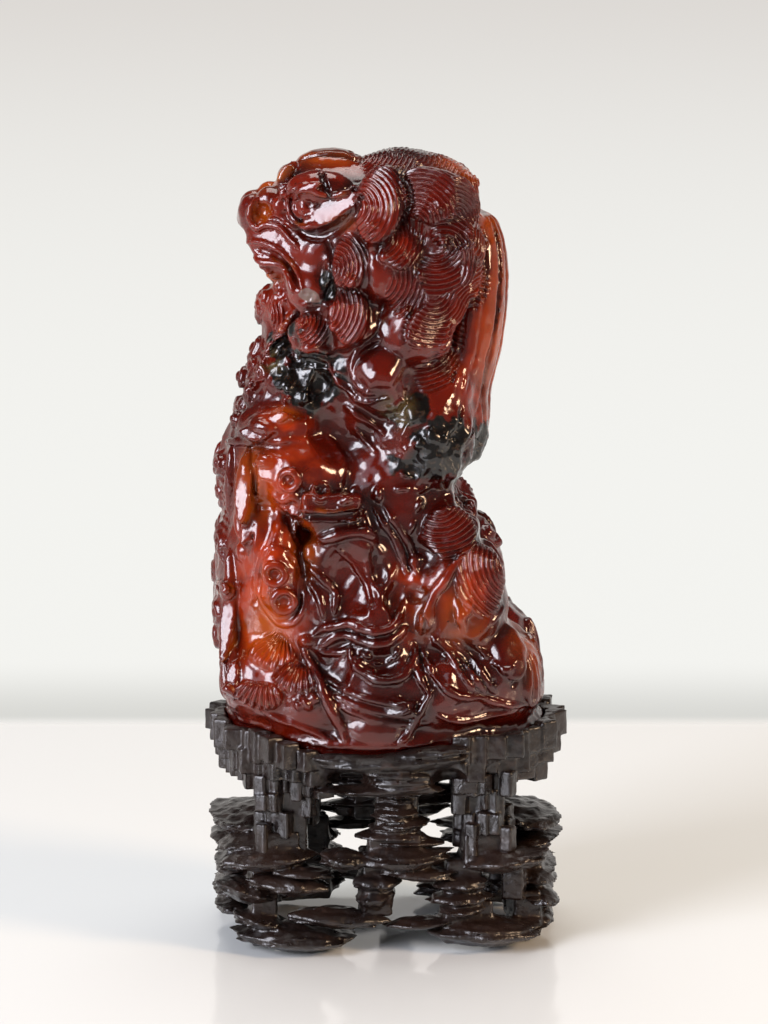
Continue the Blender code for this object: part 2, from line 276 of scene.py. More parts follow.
    def leaf(self, centre, half, yaw=0.0, tilt=0.0, bend=0.0, blend=0.25, power=2.2, ragged=0.0):
        """A slab that thins to a sharp edge all round, and to points where the power is low.

        A ragged one has notches in its outline and shallow lips that follow it.
        """
        where, (u, v, w) = self.local(centre, half, yaw, tilt)
        length, width, thick = half
        w = w - bend * (u / length) ** 2
        spread_out = np.abs(u / length) ** power + (v / width) ** 2
        if ragged:
            bearing = np.arctan2(v / width, u / length)
            phase = 3.7 * centre[0] + 2.3 * centre[1] + 5.1 * centre[2]
            notches = 2.0 + np.sin(3 * bearing + phase) + 0.7 * np.sin(7 * bearing + 2 * phase)
            notches = notches + 0.3 * np.sin(12 * bearing + 3 * phase)
            spread_out = spread_out * (1 + ragged * notches)
            w = w + 0.9 * ragged * np.sin(2.3 * math.pi * np.sqrt(spread_out) * 2 + phase)
        steep = np.sqrt((power * np.minimum(np.abs(u / length), 1) ** (power - 1) / length) ** 2
                        + (2 * v / width**2) ** 2 + 1 / thick**2)
        shape = (spread_out + np.abs(w / thick) - 1) / steep
        self.add(where, shape.astype(np.float32), blend)

    # ------------------------------------------------ motifs laid on the surface

    def axes_at(self, view, normal, angle):
        """In-surface axes, the first at the given angle in the view, and the normal."""
        _, right, up = (np.array(v, float) for v in VIEWS[view])
        a = math.radians(angle)
        along = math.cos(a) * right + math.sin(a) * up
        across = -math.sin(a) * right + math.cos(a) * up
        u = unit(along - (along @ normal) * normal)
        v = across - (across @ normal) * normal
        v = unit(v - (v @ u) * u)
        return np.array([u, v, normal])

    def bump(self, view, place, size, lift, angle=0.0, blend=0.5, thick=None, normal=None):
        """A lens of the given half sizes that stands lift above the surface. Returns its centre and axes."""
        points, normals, kept = self.spots(view, [place])
        if not kept:
            return None
        n = normals[0] if normal is None else unit(normal)
        axes = self.axes_at(view, n, angle)
        thick = thick or max(lift * 1.6, 0.45 * min(size))
        centre = points[0] + n * (lift - thick)
        self.ball(centre, (*size, thick), axes=axes, blend=blend)
        return points[0], axes

    def facet(self, view, place, size, lift, angle, normal, thick=1.2, blend=0.15):
        """A flat almond with a sharp outline that faces along the given normal."""
        points, _, _ = self.spots(view, [place])
        axes = self.axes_at(view, unit(normal), angle)
        centre = points[0] + axes[2] * (lift - thick)
        self.flats.append((points[0], (max(size),) * 3))
        reach = max(size) + SKIRT
        where, (x, y, z) = self.window(centre - reach, centre + reach)
        x, y, z = x - centre[0], y - centre[1], z - centre[2]
        u, v, w = (a[0] * x + a[1] * y + a[2] * z for a in axes)
        outline = (np.abs(u / size[0]) ** 1.6 + (v / size[1]) ** 2 - 1) * size[1] / 2
        self.add(where, np.maximum(outline, np.abs(w) - thick).astype(np.float32), blend)

    def dent(self, view, place, size, depth, angle=0.0, blend=0.4):
        """A bowl of the given half sizes, cut to the given depth."""
        points, normals, kept = self.spots(view, [place])
        if not kept:
            return
        thick = max(depth * 1.5, 0.4 * min(size))
        axes = self.axes_at(view, normals[0], angle)
        centre = points[0] + normals[0] * (thick - depth)
        self.ball(centre, (*size, thick), axes=axes, blend=blend, carve=True)

    def ridge(self, view, path, width, height, blend=0.35, taper=0.45, carve=False, steps=6):
        """A rounded ridge along a path on the surface, or a groove where carve is set."""
        places = curve(path, steps)
        points, normals, kept = self.spots(view, places)
        if len(kept) < 3:
            return
        for _ in range(2):
            points[1:-1] = (points[:-2] + 2 * points[1:-1] + points[2:]) / 4
        radius = (width**2 / 4 + height**2) / (2 * height)
        share = np.sin(np.linspace(0, math.pi, len(points))) ** 0.5
        radii = radius * (taper + (1 - taper) * share)
        lift = (height * (taper + (1 - taper) * share))[:, None]
        centres = points + normals * (lift - radii[:, None]) * (-1 if carve else 1)
        self.rope(centres, radii, blend, carve)

    def scroll(self, view, place, radius, hand=1, start=0.0, turns=1.5, width=1.0, height=0.7, base=0.8):
        """A spiral curl with a knob at its eye, on a low dome."""
        if base:
            self.bump(view, place, (radius, radius), base, blend=0.6)
        angles = np.linspace(0, 2 * math.pi * turns, int(9 * turns) + 2)
        reach = np.linspace(radius, width * 0.6, len(angles))
        a = math.radians(start) + hand * angles
        path = np.column_stack([place[0] + reach * np.cos(a), place[1] + reach * np.sin(a)])
        self.ridge(view, path, width, height, taper=0.7, steps=2)
        self.bump(view, place, (width * 0.7, width * 0.7), height, blend=0.2)

    def ring(self, view, place, outer, inner, height):
        """A round boss: a torus round a hollow with a small dome in it."""
        angles = np.linspace(0, 2 * math.pi, 17)
        middle = (outer + inner) / 2
        path = [(place[0] + middle * math.cos(a), place[1] + middle * math.sin(a)) for a in angles]
        self.bump(view, place, (outer, outer), height * 0.6, blend=0.4)
        self.ridge(view, path, outer - inner, height, taper=1.0, steps=1)
        self.dent(view, place, (inner, inner), height * 0.9, blend=0.2)
        self.bump(view, place, (inner * 0.75, inner * 0.75), height * 0.7, blend=0.2)

    def tuft(self, view, place, size, eye, angle=0.0, lift=1.2, knob=None, pitch=0.85,
             kind="arc", depth=0.3, knob_size=1.3, blend=0.5, cover=1.04):
        """A raised lock of hair with engraved strands: arcs about its eye, or a fan from it."""
        made = self.bump(view, place, size, lift, angle, blend)
        if made is None:
            return
        centre, axes = made
        _, right, up = (np.array(v, float) for v in VIEWS[view])
        spoke = (eye[0] - place[0]) * right + (eye[1] - place[1]) * up
        flat = spoke - (spoke @ axes[2]) * axes[2]
        self.hair.append({
            "centre": centre, "axes": axes, "size": (size[0] * cover, size[1] * cover, max(size) * 0.9),
            "eye": np.array([flat @ axes[0], flat @ axes[1]]),
            "pitch": pitch, "kind": kind, "depth": depth,
        })
        if knob is not None:
            self.bump(view, knob, (knob_size, knob_size), 0.75, blend=0.25)


# ---------------------------------------------------------------- skin

def skin(clay):
    """Points and triangles of the clay's surface: one point in each cell that the surface crosses."""
    f = clay.field
    inside = f < 0
    count = np.zeros(np.array(f.shape) - 1, np.uint8)
    corners = [(dx, dy, dz) for dx in (0, 1) for dy in (0, 1) for dz in (0, 1)]
    nx, ny, nz = count.shape
    for dx, dy, dz in corners:
        count += inside[dx:dx + nx, dy:dy + ny, dz:dz + nz]
    cells = np.argwhere((count > 0) & (count < 8))
    number = np.full(count.shape, -1, np.int32)
    number[tuple(cells.T)] = np.arange(len(cells))
    values = np.stack([f[tuple((cells + corner).T)] for corner in corners], 1)
    total = np.zeros((len(cells), 3))
    weight = np.zeros(len(cells))
    for i, a in enumerate(corners):
        for j, b in enumerate(corners):
            if j > i and sum(abs(p - q) for p, q in zip(a, b)) == 1:
                crossed = (values[:, i] < 0) != (values[:, j] < 0)
                drop = np.where(crossed, values[:, i] - values[:, j], 1)
                share = np.where(crossed, values[:, i] / drop, 0)
                point = np.array(a) + share[:, None] * (np.array(b) - np.array(a))
                total += point * crossed[:, None]
                weight += crossed
    points = clay.low + clay.step * (cells + total / weight[:, None])
    quads = []
    for axis in range(3):
        ahead = np.moveaxis(inside, axis, 0)
        edges = np.argwhere(ahead[:-1] != ahead[1:])
        starts_inside = ahead[:-1][tuple(edges.T)]
        others = [k for k in range(3) if k != axis]
        spot = np.empty_like(edges)
        spot[:, [axis] + others] = edges
        kept = ((spot[:, others] > 0) & (spot[:, others] < np.array(count.shape)[others])).all(1)
        spot, starts_inside = spot[kept], starts_inside[kept]
        ring = []
        for da, db in ((0, 0), (1, 0), (1, 1), (0, 1)):
            cell = spot.copy()
            cell[:, others[0]] -= da
            cell[:, others[1]] -= db
            ring.append(number[tuple(cell.T)])
        ring = np.stack(ring, 1)
        flip = starts_inside if axis != 1 else ~starts_inside
        ring[~flip] = ring[~flip][:, ::-1]
        quads.append(ring)
    quads = np.vstack(quads)
    first = np.linalg.norm(points[quads[:, 0]] - points[quads[:, 2]], axis=1)
    second = np.linalg.norm(points[quads[:, 1]] - points[quads[:, 3]], axis=1)
    short = first <= second
    a, b = quads[short], quads[~short]
    triangles = np.vstack([a[:, [0, 1, 2]], a[:, [0, 2, 3]], b[:, [0, 1, 3]], b[:, [1, 2, 3]]])
    return points, triangles


def whole(points, triangles):
    """Drops loose crumbs: parts of the mesh with less than a small share of its points."""
    least_share = 0.03
    label = np.arange(len(points))
    while True:
        before = label.copy()
        for k in range(3):
            i, j = triangles[:, k], triangles[:, (k + 1) % 3]
            lower = np.minimum(label[i], label[j])
            np.minimum.at(label, i, lower)
            np.minimum.at(label, j, lower)
        label = label[label]
        if (label == before).all():
            break
    size = np.bincount(label, minlength=len(points))
    kept = size[label] > least_share * len(points)
    number = np.cumsum(kept) - 1
    triangles = triangles[kept[triangles].all(1)]
    return points[kept], number[triangles]


def settle(clay, points, rounds=3):
    """Moves the points onto the surface."""
    longest = clay.step * 0.6
    for _ in range(rounds):
        slope = clay.slope(points, clay.step * 0.5)
        steep = np.maximum((slope**2).sum(1), 0.15)
        move = np.clip(clay.sample(points) / steep, -longest, longest)
        points = points - slope * move[:, None]
    return points


def refine(points, triangles, wanted):
    """Splits each triangle whose corners are all wanted in four, and its neighbours to match."""
    chosen = wanted[triangles].all(1)
    pairs = np.stack([triangles, np.roll(triangles, -1, axis=1)], 2)
    pairs.sort(axis=2)
    keys = pairs[..., 0].astype(np.int64) * len(points) + pairs[..., 1]
    split = np.unique(keys[chosen])
    marked = np.isin(keys, split)
    middle = np.searchsorted(split, keys) + len(points)
    ends = np.stack([split // len(points), split % len(points)], 1)
    grown = np.vstack([points, points[ends].mean(1)])
    parts = []
    total = marked.sum(1)
    parts.append(triangles[total == 0])
    full = total == 3
    (a, b, c), (ab, bc, ca) = triangles[full].T, middle[full].T
    parts += [np.stack(t, 1) for t in ((a, ab, ca), (ab, b, bc), (ca, bc, c), (ab, bc, ca))]
    for shift in range(3):
        t, m, k = (np.roll(v, -shift, axis=1) for v in (triangles, middle, marked))
        one = (total == 1) & k[:, 0]
        (a, b, c), ab = t[one].T, m[one, 0]
        parts += [np.stack(v, 1) for v in ((a, ab, c), (ab, b, c))]
        two = (total == 2) & k[:, 0] & k[:, 1]
        (a, b, c), ab, bc = t[two].T, m[two, 0], m[two, 1]
        parts += [np.stack(v, 1) for v in ((b, bc, ab), (a, ab, bc), (a, bc, c))]
    return grown, np.vstack(parts)


def point_normals(points, triangles):
    a, b, c = (points[triangles[:, k]] for k in range(3))
    face = np.cross(b - a, c - a)
    total = np.zeros_like(points)
    for k in range(3):
        np.add.at(total, triangles[:, k], face)
    return total / np.maximum(np.linalg.norm(total, axis=1), 1e-12)[:, None]


def spread(values, triangles, rounds):
    """Averages a value over each point's neighbours."""
    for _ in range(rounds):
        total, weight = values.copy(), np.ones(len(values))
        for k in range(3):
            i, j = triangles[:, k], triangles[:, (k + 1) % 3]
            total += np.bincount(i, values[j], len(values))
            weight += np.bincount(i, minlength=len(values))
        values = total / weight
    return values


def strands(clay, points, margin=0.0):
    """For each point, how far out it is in the nearest lock of hair (1 at the lock's edge), the
    lock's share there, the number of strands counted from its eye, and the grooves' depth."""
    soft_edge = 0.22
    best = np.full(len(points), 1.0 + margin)
    count = np.zeros(len(points))
    depth = np.zeros(len(points))
    for lock in clay.hair:
        local = (points - lock["centre"]) @ lock["axes"].T
        inside = np.sqrt(((local / np.array(lock["size"])) ** 2).sum(1))
        nearer = inside < best
        best[nearer] = inside[nearer]
        du, dv = (local[nearer, :2] - lock["eye"]).T
        radius, bearing = np.hypot(du, dv), np.arctan2(dv, du)
        if lock["kind"] == "arc":
            count[nearer] = radius / lock["pitch"]
        else:
            count[nearer] = bearing * max(lock["size"][:2]) / lock["pitch"]
        depth[nearer] = lock["depth"]
    share = np.clip((1.0 - best) / soft_edge, 0, 1)
    return best, share * share * (3 - 2 * share), count, depth


def mesh_object(name, points, triangles, values):
    """A smooth-shaded object with a value at each point for each named attribute."""
    mesh = bpy.data.meshes.new(name)
    mesh.vertices.add(len(points))
    mesh.vertices.foreach_set("co", (points * MM).astype(np.float32).ravel())
    mesh.loops.add(len(triangles) * 3)
    mesh.loops.foreach_set("vertex_index", triangles.astype(np.int32).ravel())
    mesh.polygons.add(len(triangles))
    mesh.polygons.foreach_set("loop_start", np.arange(0, len(triangles) * 3, 3, dtype=np.int32))
    mesh.update(calc_edges=True)
    mesh.validate()
    mesh.shade_smooth()
    for label, value in values.items():
        made = mesh.attributes.new(label, "FLOAT", "POINT")
        made.data.foreach_set("value", value.astype(np.float32))
    obj = bpy.data.objects.new(name, mesh)
    bpy.context.scene.collection.objects.link(obj)
    return obj


def thinness(clay, points, normals):
    """From 0 where the carving is thick under a point to 1 where it is thin."""
    deepest = 9.0
    thick = np.full(len(points), deepest)
    for depth in np.arange(deepest, 0.8, -0.7):
        outside = clay.sample(points - normals * depth) > 0
        thick[outside] = depth
    return 1 - thick / deepest


def hollowness(clay, points, normals, reach):
    """Above 0 in creases and below 0 on ridges."""
    return 1 - clay.sample(points + normals * reach) / reach


# ---------------------------------------------------------------- the lion

def lion_masses(clay):
    """The large forms under the carving."""
    single = [
        ((-0.5, 0, 42), (27, 21.5, 10), 0), ((-0.5, 0, 35), (28.5, 22.5, 8), 0),
        ((-5, 0, 56), (22.5, 18.5, 20), 0), ((-19.5, 0, 59), (9.3, 15, 23), 0),
        ((-15.5, 0, 80), (12.5, 14, 13), 15), ((-13, 0, 93), (10, 11.5, 11), 0),
        ((-1, 0, 97), (14.5, 13.5, 18), 0), ((0.5, 0, 74), (14.5, 15.5, 17), 0),
        ((-9, 0, 119.8), (12, 11.5, 11.8), 0), ((-17.8, 0, 117.6), (6.6, 7.5, 6.6), 0),
        ((-21.3, 0, 121.8), (3.2, 5.2, 3.1), 0), ((-14.8, 0, 107.8), (6, 7, 4.2), -25),
        ((-17.3, 0, 102), (3, 5, 5.5), 0), ((2.8, 0, 116.3), (15.3, 13, 16.2), 0),
    ]
    paired = [
        ((8.5, 8, 56.5), (11, 10.5, 12), 20), ((10, 11.5, 64), (5.4, 6, 5.2), 0),
        ((15, 11, 56), (4.6, 7, 7.4), 25), ((17, 8, 46), (9, 10, 9.5), 0),
        ((-1, 13, 55), (5, 7.5, 16), -20), ((-19, 11, 45), (8, 9, 8.5), 0),
        ((-13, 15, 43), (6, 6, 6), 0), ((-1, 16, 46), (8, 6, 8), 0), ((9, 16, 45), (8, 5.5, 6.5), 0),
        ((-17.5, 8, 88), (7, 6.5, 4), 0), ((-14.5, 11.5, 80), (9, 5.5, 6), 0),
        ((-18, 13, 66), (4.5, 4.5, 9), -10), ((-9, 14, 74), (5.5, 4, 3.5), 0),
        ((-6.5, 14, 66), (6.5, 4.5, 8), 0), ((-0.5, 11.5, 95.5), (4.4, 4.4, 4.2), 0),
        ((7, 10, 86), (8, 5.5, 9), 15), ((14.2, 10.4, 62.6), (5.2, 6.2, 6.2), 8),
        ((10.4, 10.6, 71.2), (5.4, 6.0, 5.0), 0), ((-12.3, 7.8, 125.5), (5.2, 3.8, 3.2), 0),
        ((-13.6, 8.2, 121), (2.6, 2.6, 2.6), 0), ((-11.6, 8.4, 110.5), (4.4, 4, 4.4), 0),
    ]
    locks = [
        (-2.5, 10.6, 122.5, 5.8), (8, 9.0, 124, 6.6), (0.8, 12.0, 114.5, 5.6), (10.5, 10.0, 117, 5.4),
        (-5.3, 11.4, 114, 4.6), (-6, 11.8, 105.5, 4.6), (-11.8, 10.5, 103, 4), (7, 11.0, 110.5, 5.6),
        (4.5, 11.6, 104, 5.8), (9, 8, 94, 5.5),
    ]
    for centre, radii, tilt in single:
        clay.ball(centre, radii, tilt, blend=2.2)
    for (x, y, z), radii, tilt in paired:
        for side in (-1, 1):
            clay.ball((x, side * y, z), radii, tilt, blend=2.0)
    for x, y, z, r in locks:
        for side in (-1, 1):
            clay.ball((x, side * y, z), (r, r * 0.72, r), blend=1.6)


def lion_tail(clay):
    """The broad plume that stands against the back, lined in long shallow strips."""
    clay.ball((13.8, 0, 104), (6.3, 9.5, 19), 8, blend=1.0)
    clay.ball((11, 0, 88), (6.5, 9.5, 12.5), 8, blend=1.2)
    clay.ball((18.8, 0, 76.4), (8.2, 24, 4.8), blend=0.8, carve=True)
    clay.brick((20.2, 0, 124.9), (4.4, 14, 3.4), tilt=-12, edge=1.2, blend=0.5, carve=True)
    for offset in (-6.6, -3.3, 0.0, 3.3, 6.6):
        path = [(offset * 0.55, 82), (offset * 0.85, 90), (offset, 100), (offset * 0.95, 110),
                (offset * 0.6, 119), (offset * 0.35, 122)]
        clay.ridge("back", path, 0.9, 0.45, blend=0.2, carve=True, taper=0.3)
    # width, depth and path of the strips on the flanks, from the back edge forwards
    strips = [
        (0.8, 0.3, [(17.9, 121.0), (18.9, 114), (18.2, 105), (16.6, 97), (15.4, 90), (12.6, 83)]),
        (0.7, 0.28, [(16.2, 120), (16.6, 112), (15.6, 103), (13.8, 95), (11.0, 86)]),
        (0.6, 0.22, [(14.9, 116), (15.0, 108), (13.8, 100), (11.6, 91)]),
        (0.7, 0.25, [(13.4, 108), (12.4, 101), (10.2, 92)]),
    ]
    for view in FLANKS:
        for width, depth, path in strips:
            clay.ridge(view, path, width, depth, carve=True, blend=0.15)


def lion_face(clay):
    """Snout, eyes, brows, open mouth and jaw, the same on both flanks."""
    for side in (-1, 1):
        facing = unit((-0.40, side * 0.90, 0.17))
        clay.ball(np.array((-13.5, side * 9.0, 121.0)) + 26 * facing, (26, 26, 26), blend=1.0, carve=True)
        clay.ball((-21.7, side * 2.9, 122.7), (2.6, 2.7, 3.1), blend=0.5)
        clay.ball((-18.8, side * 3.6, 124.9), (2.5, 2.6, 2.2), blend=0.5)
        clay.ball((-11.4, side * 6.8, 111.2), (4.8, 4.2, 4.9), blend=1.2)
        clay.ball((-10.8, side * 7.6, 116.2), (3.6, 3.4, 4.6), blend=1.2)
    # the open mouth: the lips lean back from the nose down to the chin
    clay.brick((-24.9, 0, 111.8), (4.4, 12, 5.0), tilt=-57, edge=1.0, blend=0.5, carve=True)
    clay.ball((-25.6, 0, 118.7), (2.9, 9.0, 2.0), blend=0.4, carve=True)
    clay.ball((-19.6, 0, 112.8), (3.4, 4.2, 1.9), 30, blend=0.5, carve=True)
    clay.ball((-17.4, 0, 111.2), (2.6, 2.4, 1.0), 20, blend=0.3)
    for view in FLANKS:
        gaze = glint(view, -9.0, 124.0)
        # nostril in its rim
        clay.bump(view, (-20.3, 123.3), (2.3, 2.4), 0.8, blend=0.3)
        clay.dent(view, (-20.3, 123.2), (1.4, 1.6), 1.2, blend=0.2)
        clay.bump(view, (-17.4, 124.2), (1.5, 1.8), 1.1, blend=0.2)
        clay.ridge(view, [(-20.9, 125.4), (-22.2, 123.8), (-22.2, 121.8), (-20.9, 120.3), (-19.2, 121.1),
                          (-17.0, 120.6), (-15.8, 119.2), (-14.2, 117.8)], 1.0, 0.9, blend=0.15)
        # upper lip: rolls that turn down to the corner of the mouth
        clay.ridge(view, [(-22.8, 117.9), (-21.0, 118.3), (-18.3, 117.6), (-16.6, 116.5), (-15.2, 115.1),
                          (-14.1, 113.2), (-13.4, 110.6)], 0.7, 0.75, blend=0.1)
        clay.ridge(view, [(-22.4, 116.6), (-20.8, 115.2), (-18.8, 114.9), (-17.0, 114.8), (-15.8, 113.2),
                          (-15.0, 110.6)], 1.3, 1.1, blend=0.15)
        clay.ridge(view, [(-21.4, 117.0), (-18.8, 116.4), (-16.6, 115.4), (-15.0, 113.7), (-14.2, 111.2)],
                   0.9, 0.8, blend=0.15, carve=True)
        # beads of the lip and of the beard under the mouth
        for x, z in [(-20.2, 114.2), (-19.2, 113.4), (-18.4, 112.4), (-17.9, 110.6), (-17.3, 109.4),
                     (-16.6, 108.4), (-18.2, 108.8), (-16.7, 110.8)]:
            clay.bump(view, (x, z), (0.9, 0.7), 0.7, angle=30 * x, blend=0.12)
        # brow: a beaded roll over the eye
        brow = curve([(-16.5, 126.0), (-16.9, 128.0), (-16.0, 129.8), (-14.2, 130.9)], 3)
        clay.ridge(view, brow, 1.6, 0.8, blend=0.2, taper=0.8, steps=1)
        for x, z in brow:
            clay.bump(view, (x, z), (1.2, 0.36), 0.7, angle=35, blend=0.08)
        # eye: a ball in ringed lids, with a long polished white that runs back from it
        clay.bump(view, (-10.6, 128.0), (5.6, 3.1), 1.7, angle=-7, blend=0.35)
        clay.ridge(view, [(-14.4, 120.6), (-11.4, 119.5), (-8.0, 120.9), (-5.4, 123.6), (-4.0, 127.0)],
                   1.8, 0.9, blend=0.3, carve=True)
        clay.facet(view, (-8.7, 123.7), (5.6, 1.8), 1.3, 27, gaze, thick=1.6)
        clay.bump(view, (-12.8, 124.7), (2.3, 2.3), 1.5, blend=0.12, normal=gaze, thick=1.7)
        clay.ridge(view, [(-11.2, 121.9), (-13.4, 121.3), (-15.3, 122.7), (-15.9, 125.0), (-15.2, 127.2),
                          (-13.0, 128.4)], 0.8, 0.8, blend=0.1)
        clay.ridge(view, [(-12.2, 122.8), (-13.9, 122.8), (-14.7, 123.9), (-14.8, 125.4), (-13.9, 126.7)],
                   0.55, 0.65, blend=0.06)
        clay.dent(view, (-12.4, 124.9), (0.8, 0.8), 0.7, blend=0.1)
        clay.bump(view, (-12.4, 124.9), (0.45, 0.45), 0.5, blend=0.05)
        clay.ridge(view, [(-14.6, 126.6), (-13.2, 127.5), (-10.8, 127.0), (-8.6, 126.4), (-6.2, 126.9),
                          (-4.4, 128.0)], 0.9, 1.0, blend=0.12)
        clay.facet(view, (-12.4, 127.9), (2.3, 0.7), 0.35, 14, glint(view, -12.4, 127.9), thick=0.8)
        clay.ridge(view, [(-10.6, 130.4), (-9.8, 128.4), (-9.0, 126.4)], 0.9, 0.9, blend=0.12, carve=True)
        # cheek fold that runs from the nose under the eye
        clay.ridge(view, [(-19.4, 122.2), (-17.4, 122.8), (-16.0, 121.4), (-14.2, 120.6)], 0.7, 0.6,
                   blend=0.15)
        clay.dent(view, (-13.0, 109.4), (2.1, 1.5), 0.6, blend=0.2)
    # forehead boss between the brows
    clay.ball((-9.3, 0, 130.4), (5.6, 5.0, 2.6), -2, blend=0.7)
    clay.ball((-15.4, 0, 128.2), (2.4, 3.4, 2.2), blend=0.6)
    for y in (-2.6, 2.6):
        clay.ridge("top", [(-15, y * 0.7), (-9, y * 1.3), (-4, y)], 1.0, 0.6, carve=True)
    for y in (-3.2, -1.1, 1.1, 3.2):
        clay.bump("front", (y, 115.2), (0.8, 1.0), 0.5, blend=0.15)
    for y, z in [(0, 108.2), (-2.4, 108.5), (2.4, 108.5), (-1.2, 106.6), (1.2, 106.6), (0, 105.0)]:
        clay.scroll("front", (y, z), 1.4, hand=1 if y > 0 else -1, width=0.8, height=0.5, turns=1.2)


def lion_mane(clay):
    """Comma-shaped locks over the head, neck and shoulders, each swept about an eye beside it."""
    # place, half sizes, angle, eye of the arcs, knob, pitch of the strands, lift
    locks = [
        ((8.6, 98.4), (3.6, 4.8), -24, (5.0, 105.0), None, 0.74, 0.5),
        ((3.6, 111.0), (3.4, 4.4), 0, (-3.4, 114.0), None, 0.8, 0.35),
        ((13.2, 113.8), (2.6, 5.0), 0, (6.0, 118.0), None, 0.8, 0.35),
        ((9.2, 106.6), (6.8, 3.8), 22, (7.2, 111.6), (3.3, 107.9), 0.84, 0.8),
        ((9.6, 114.2), (5.8, 3.6), 24, (8.2, 119.4), (5.6, 113.4), 0.84, 0.8),
        ((13.4, 125.4), (3.8, 4.6), 20, (8.4, 121.4), None, 0.76, 0.7),
        ((11.6, 120.8), (4.0, 3.8), 0, (9.2, 117.6), (9.5, 119.5), 0.82, 0.8),
        ((7.2, 127.0), (5.8, 4.6), -32, (5.2, 122.0), (8.1, 124.5), 0.86, 1.0),
        ((2.9, 119.4), (3.7, 5.3), -8, (-2.2, 119.6), (-0.2, 116.9), 0.84, 1.0),
        ((-0.7, 125.7), (4.2, 7.1), -14, (-6.4, 124.0), (-2.8, 121.9), 0.95, 1.7),
    ]
    # the same for the curls round the cheek and chin, with the size of the knob in place of the lift
    curls = [
        ((-5.7, 116.2), (3.2, 4.9), -8, (-9.4, 114.8), (-5.9, 113.1), 0.78, 1.4),
        ((-5.9, 107.4), (3.5, 4.9), 0, (-12.0, 108.6), (-8.4, 105.4), 0.8, 1.1),
        ((-12.0, 104.4), (3.2, 3.1), 0, (-14.6, 106.4), (-13.7, 105.2), 0.72, 1.0),
        ((-17.4, 105.2), (1.9, 3.2), 15, (-20.6, 106.0), None, 0.72, 0.8),
    ]
    for view in FLANKS:
        for place, size, angle, eye, knob, pitch, lift in locks:
            clay.tuft(view, place, size, eye, angle, lift, knob, pitch, knob_size=1.2, cover=1.12)
        # the smooth bands between the locks
        clay.ridge(view, [(-3.6, 132.0), (0.6, 131.4), (3.6, 128.6), (4.0, 124.4), (2.0, 121.0)], 0.9, 0.6,
                   carve=True, blend=0.2)
        clay.ridge(view, [(-2.4, 120.0), (-1.7, 114.0), (-1.6, 108.6), (-3.0, 104.0), (-8.2, 101.6)],
                   2.4, 0.6)
        clay.ridge(view, [(-9.6, 119.4), (-8.8, 116.6), (-8.8, 112.6), (-9.6, 109.6)], 1.1, 1.0, carve=True)
        for place, size, angle, eye, knob, pitch, knob_size in curls:
            clay.tuft(view, place, size, eye, angle, 1.4, knob, pitch, depth=0.36,
                      knob_size=knob_size, blend=0.3)
    for y, z in [(-6.5, 126.0), (6.5, 126.0), (0, 128.6), (-10.2, 119.6), (10.2, 119.6), (-10.8, 111.4),
                 (10.8, 111.4), (-10.4, 103.2), (10.4, 103.2)]:
        clay.tuft("back", (y, z), (4.2, 4.2), lift=0.8, eye=(y * 0.7, z - 4.4), knob=(y * 0.92, z - 1.2),
                  blend=0.9, cover=1.2)
    for x, y in [(1.4, -5.2), (1.4, 5.2), (8.2, -4.6), (8.2, 4.6), (-1.6, 0), (4.8, 0), (12.0, 0)]:
        clay.tuft("top", (x, y), (4.6, 4.2), lift=0.35, eye=(x - 5.6, y * 0.5), blend=1.2, cover=1.2)


